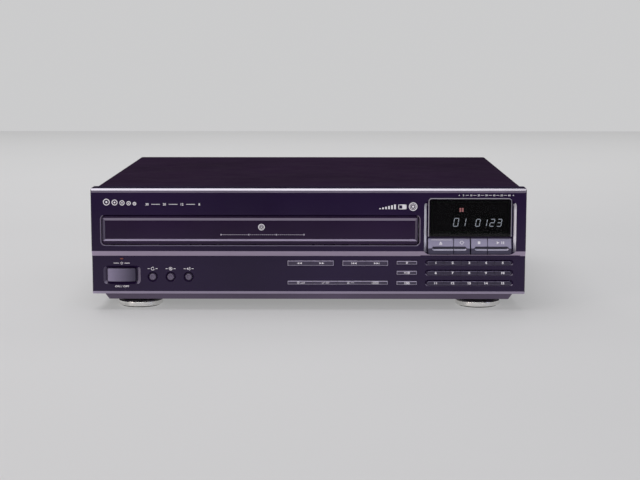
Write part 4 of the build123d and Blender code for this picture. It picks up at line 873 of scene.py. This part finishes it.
for i in range(4):
    p.bar(c[0] + 0.2 + 1.2 * i, c[0] + 0.9 + 1.2 * i, zc - 0.8, zc - 0.3 + 0.35 * i)
p.make("legend_display_key", "display_key")
p = Print(KF)
p.line(c[1] - 3.4, zc + 0.1, c[1] - 2.4, zc - 0.9, 0.45).line(c[1] - 2.4, zc - 0.9, c[1] - 0.6, zc + 1.0, 0.45)
p.bar(c[1] + 0.6, c[1] + 4.4, zc + 0.35, zc + 0.75).bar(c[1] + 0.6, c[1] + 3.4, zc - 0.75, zc - 0.35)
p.make("legend_check_key", "check_key")
p = Print(KF)
p.line(c[2] - 3.0, zc - 0.95, c[2] - 1.0, zc + 0.95, 0.45).line(c[2] - 3.0, zc + 0.95, c[2] - 1.0, zc - 0.95, 0.45)
p.bar(c[2] + 0.4, c[2] + 4.0, zc - 0.2, zc + 0.2)
p.make("legend_clear_key", "clear_key")
p = Print(KF)
for d in (-0.95, 0.0, 0.95):
    p.dot(c[3] - 3.4, zc + d, 0.28).bar(c[3] - 2.6, c[3] + 3.4, zc + d - 0.2, zc + d + 0.2)
p.make("legend_program_key", "program_key")

zc = 49.05
m1 = (-21.2 + 25.5) / 2
p = Print(KF)
for s in (-1, 1):
    p.tri(m1 + s * 10.1, zc, 2.4, 2.0, s).tri(m1 + s * 12.7, zc, 2.4, 2.0, s)
p.make("legend_search_rocker", "search_rocker")
m2 = (34.6 + 80.7) / 2
p = Print(KF)
for s in (-1, 1):
    p.tri(m2 + s * 10.0, zc, 2.4, 2.0, s).tri(m2 + s * 12.5, zc, 2.4, 2.0, s).bar(m2 + s * 14.0 - 0.25, m2 + s * 14.0 + 0.25, zc - 1.0, zc + 1.0)
p.make("legend_skip_rocker", "skip_rocker")

# transport keys: signs on the leaning upper facet
TF = Face(-196.6, 74.5, 3.4 / 9.6)
p = Print(TF)
p.tri(133.8, 70.6, 3.2, 2.1, 0).bar(132.2, 135.4, 68.5, 69.1).bar(124.4, 144.6, 73.0, 73.45)
p.make("legend_open_close_key", "open_close_key")
p = Print(TF)
p.arc(155.2, 70.6, 1.8, 0.5, 20, 160).arc(155.2, 70.6, 1.8, 0.5, 200, 340).tri(157.2, 70.7, 1.3, 1.3, 1).tri(153.2, 70.5, 1.3, 1.3, -1)
p.make("legend_disc_side_key", "disc_side_key")
Print(TF).bar(171.3, 173.9, 69.2, 71.8).make("legend_stop_key", "stop_key")
p = Print(TF)
p.tri(191.8, 70.5, 2.9, 2.7, 1).bar(195.2, 196.1, 69.2, 71.8).bar(197.0, 197.9, 69.2, 71.8)
p.make("legend_play_pause_key", "play_pause_key")

# tray door: a plain disc sign and the disc sizes
DF = Face(-196.0)
p = Print(DF)
p.ring(-47.6, 86.0, 3.3, 0.8).ring(-47.6, 86.0, 1.9, 0.4).dot(-47.6, 86.0, 0.7)
p.make("legend_door_disc", "tray_unit")
p = Print(DF)
for i in range(43):
    a = -89.2 + 2.0 * i
    if i % 14 == 0:
        p.bar(a, a + 1.3, 77.5, 79.0)
    else:
        p.bar(a, a + 1.3, 78.0, 78.5)
p.make("legend_door_scale", "tray_unit", "print_dim")

# lit figures, just in front of the tube's face
TUBE = Face(-191.42)


def seven(px, z0, w, h, slant, t, which):
    """Segment outlines of one leaning figure, (x, z) in mm."""
    def sk(x, z):
        return (px + x + (z) * slant, z0 + z)
    g = 0.18
    hh = h / 2
    segs = {
        "a": [(g + t * 0.5, h - t * 0.5), (t + g, h), (w - t - g, h), (w - g - t * 0.5, h - t * 0.5), (w - t - g, h - t), (t + g, h - t)],
        "g": [(g + t * 0.5, hh), (t + g, hh + t / 2), (w - t - g, hh + t / 2), (w - g - t * 0.5, hh), (w - t - g, hh - t / 2), (t + g, hh - t / 2)],
        "d": [(g + t * 0.5, t * 0.5), (t + g, t), (w - t - g, t), (w - g - t * 0.5, t * 0.5), (w - t - g, 0), (t + g, 0)],
        "f": [(t * 0.5, hh + g), (t, hh + t / 2 + g), (t, h - t - g), (t * 0.5, h - t * 0.5 - g), (0, h - t - g), (0, hh + t / 2 + g)],
        "b": [(w - t * 0.5, hh + g), (w, hh + t / 2 + g), (w, h - t - g), (w - t * 0.5, h - t * 0.5 - g), (w - t, h - t - g), (w - t, hh + t / 2 + g)],
        "e": [(t * 0.5, hh - g), (t, hh - t / 2 - g), (t, t + g), (t * 0.5, t * 0.5 + g), (0, t + g), (0, hh - t / 2 - g)],
        "c": [(w - t * 0.5, hh - g), (w, hh - t / 2 - g), (w, t + g), (w - t * 0.5, t * 0.5 + g), (w - t, t + g), (w - t, hh - t / 2 - g)],
    }
    return [[sk(x, z) for x, z in segs[s]] for s in which]


LIT = {"0": "abcdef", "1": "bc", "2": "abged", "3": "abgcd"}
p = Print(TUBE)
q = Print(TUBE)
for px, w, h, ch in ((146.3, 5.1, 8.8, "0"), (153.6, 5.1, 8.8, "1"), (168.7, 4.7, 7.9, "0"), (175.7, 4.7, 7.9, "1"), (183.1, 4.9, 7.9, "2"), (190.4, 4.8, 7.9, "3")):
    for pts in seven(px, 86.2, w, h, 0.17, 0.66, LIT[ch]):
        p.poly(pts)
    for pts in seven(px, 86.2, w, h, 0.17, 0.66, [s for s in "abcdefg" if s not in LIT[ch]]):
        q.poly(pts)
p.make("display_digits", "case", "digit")
M["unlit"] = grain_plastic("unlit_segment", (0.05, 0.055, 0.055), rough=0.5)
q.make("display_unlit_segments", "case", "unlit")
p = Print(TUBE)
p.bar(152.9, 154.6, 101.4, 103.0).bar(155.3, 157.0, 101.4, 103.0).bar(152.9, 154.6, 103.5, 105.1).bar(155.3, 157.0, 103.5, 105.1)
p.make("display_indicator", "case", "red")

# ------------------------------------------------------------------ stage and light
floor_me = bpy.data.meshes.new("floor")
floor_me.from_pydata([(-4, -0.795, 0), (4, -0.795, 0), (4, 2.6, 0), (-4, 2.6, 0)], [], [(0, 1, 2, 3)])
floor = bpy.data.objects.new("floor", floor_me)
scene.collection.objects.link(floor)
fm = Mat("floor_paper")
fm.set(color=fm.mix(fm.noise(3.0, 2.0), (0.36, 0.36, 0.36), (0.38, 0.38, 0.38)), rough=0.8, spec=0.1, emit=(1.0, 1.0, 1.0), emit_s=0.30)
floor.data.materials.append(fm.m)

world = bpy.data.worlds.new("studio")
scene.world = world
world.use_nodes = True
wt = world.node_tree
wt.nodes.clear()
wo = wt.nodes.new("ShaderNodeOutputWorld")
lp = wt.nodes.new("ShaderNodeLightPath")
b1 = wt.nodes.new("ShaderNodeBackground")
b1.inputs[0].default_value = (0.012, 0.010, 0.016, 1)
b2 = wt.nodes.new("ShaderNodeBackground")
b2.inputs[0].default_value = (0.60, 0.60, 0.605, 1)
mx = wt.nodes.new("ShaderNodeMixShader")
wt.links.new(lp.outputs["Is Camera Ray"], mx.inputs[0])
wt.links.new(b1.outputs[0], mx.inputs[1])
wt.links.new(b2.outputs[0], mx.inputs[2])
wt.links.new(mx.outputs[0], wo.inputs[0])


def area(name, loc, aim, sx, sy, radiance, color=(1, 1, 1)):
    d = bpy.data.lights.new(name, "AREA")
    d.shape = "RECTANGLE"
    d.size, d.size_y = sx, sy
    d.energy = radiance * math.pi * sx * sy
    d.color = color
    o = bpy.data.objects.new(name, d)
    o.location = loc
    o.rotation_euler = (Vector(aim) - Vector(loc)).to_track_quat("-Z", "Y").to_euler()
    scene.collection.objects.link(o)
    return o


area("overhead", (-0.35, -0.10, 1.8), (-0.1, -0.10, 0), 2.4, 1.7, 2.0, (0.98, 0.97, 1.0))
area("rear_floor", (0.0, 1.9, 1.5), (0, 1.9, 0), 4.4, 1.6, 1.5)
area("front", (0.0, -2.7, 0.80), (0, 0, 0.3), 3.0, 1.0, 2.4)
area("left_key", (-1.5, -1.5, 0.45), (0, -0.2, 0.06), 0.5, 0.9, 6.5, (1.0, 0.90, 0.86))
area("right_fill", (1.6, -1.3, 0.45), (0, -0.2, 0.06), 0.4, 0.8, 4.0, (0.70, 0.76, 1.0))
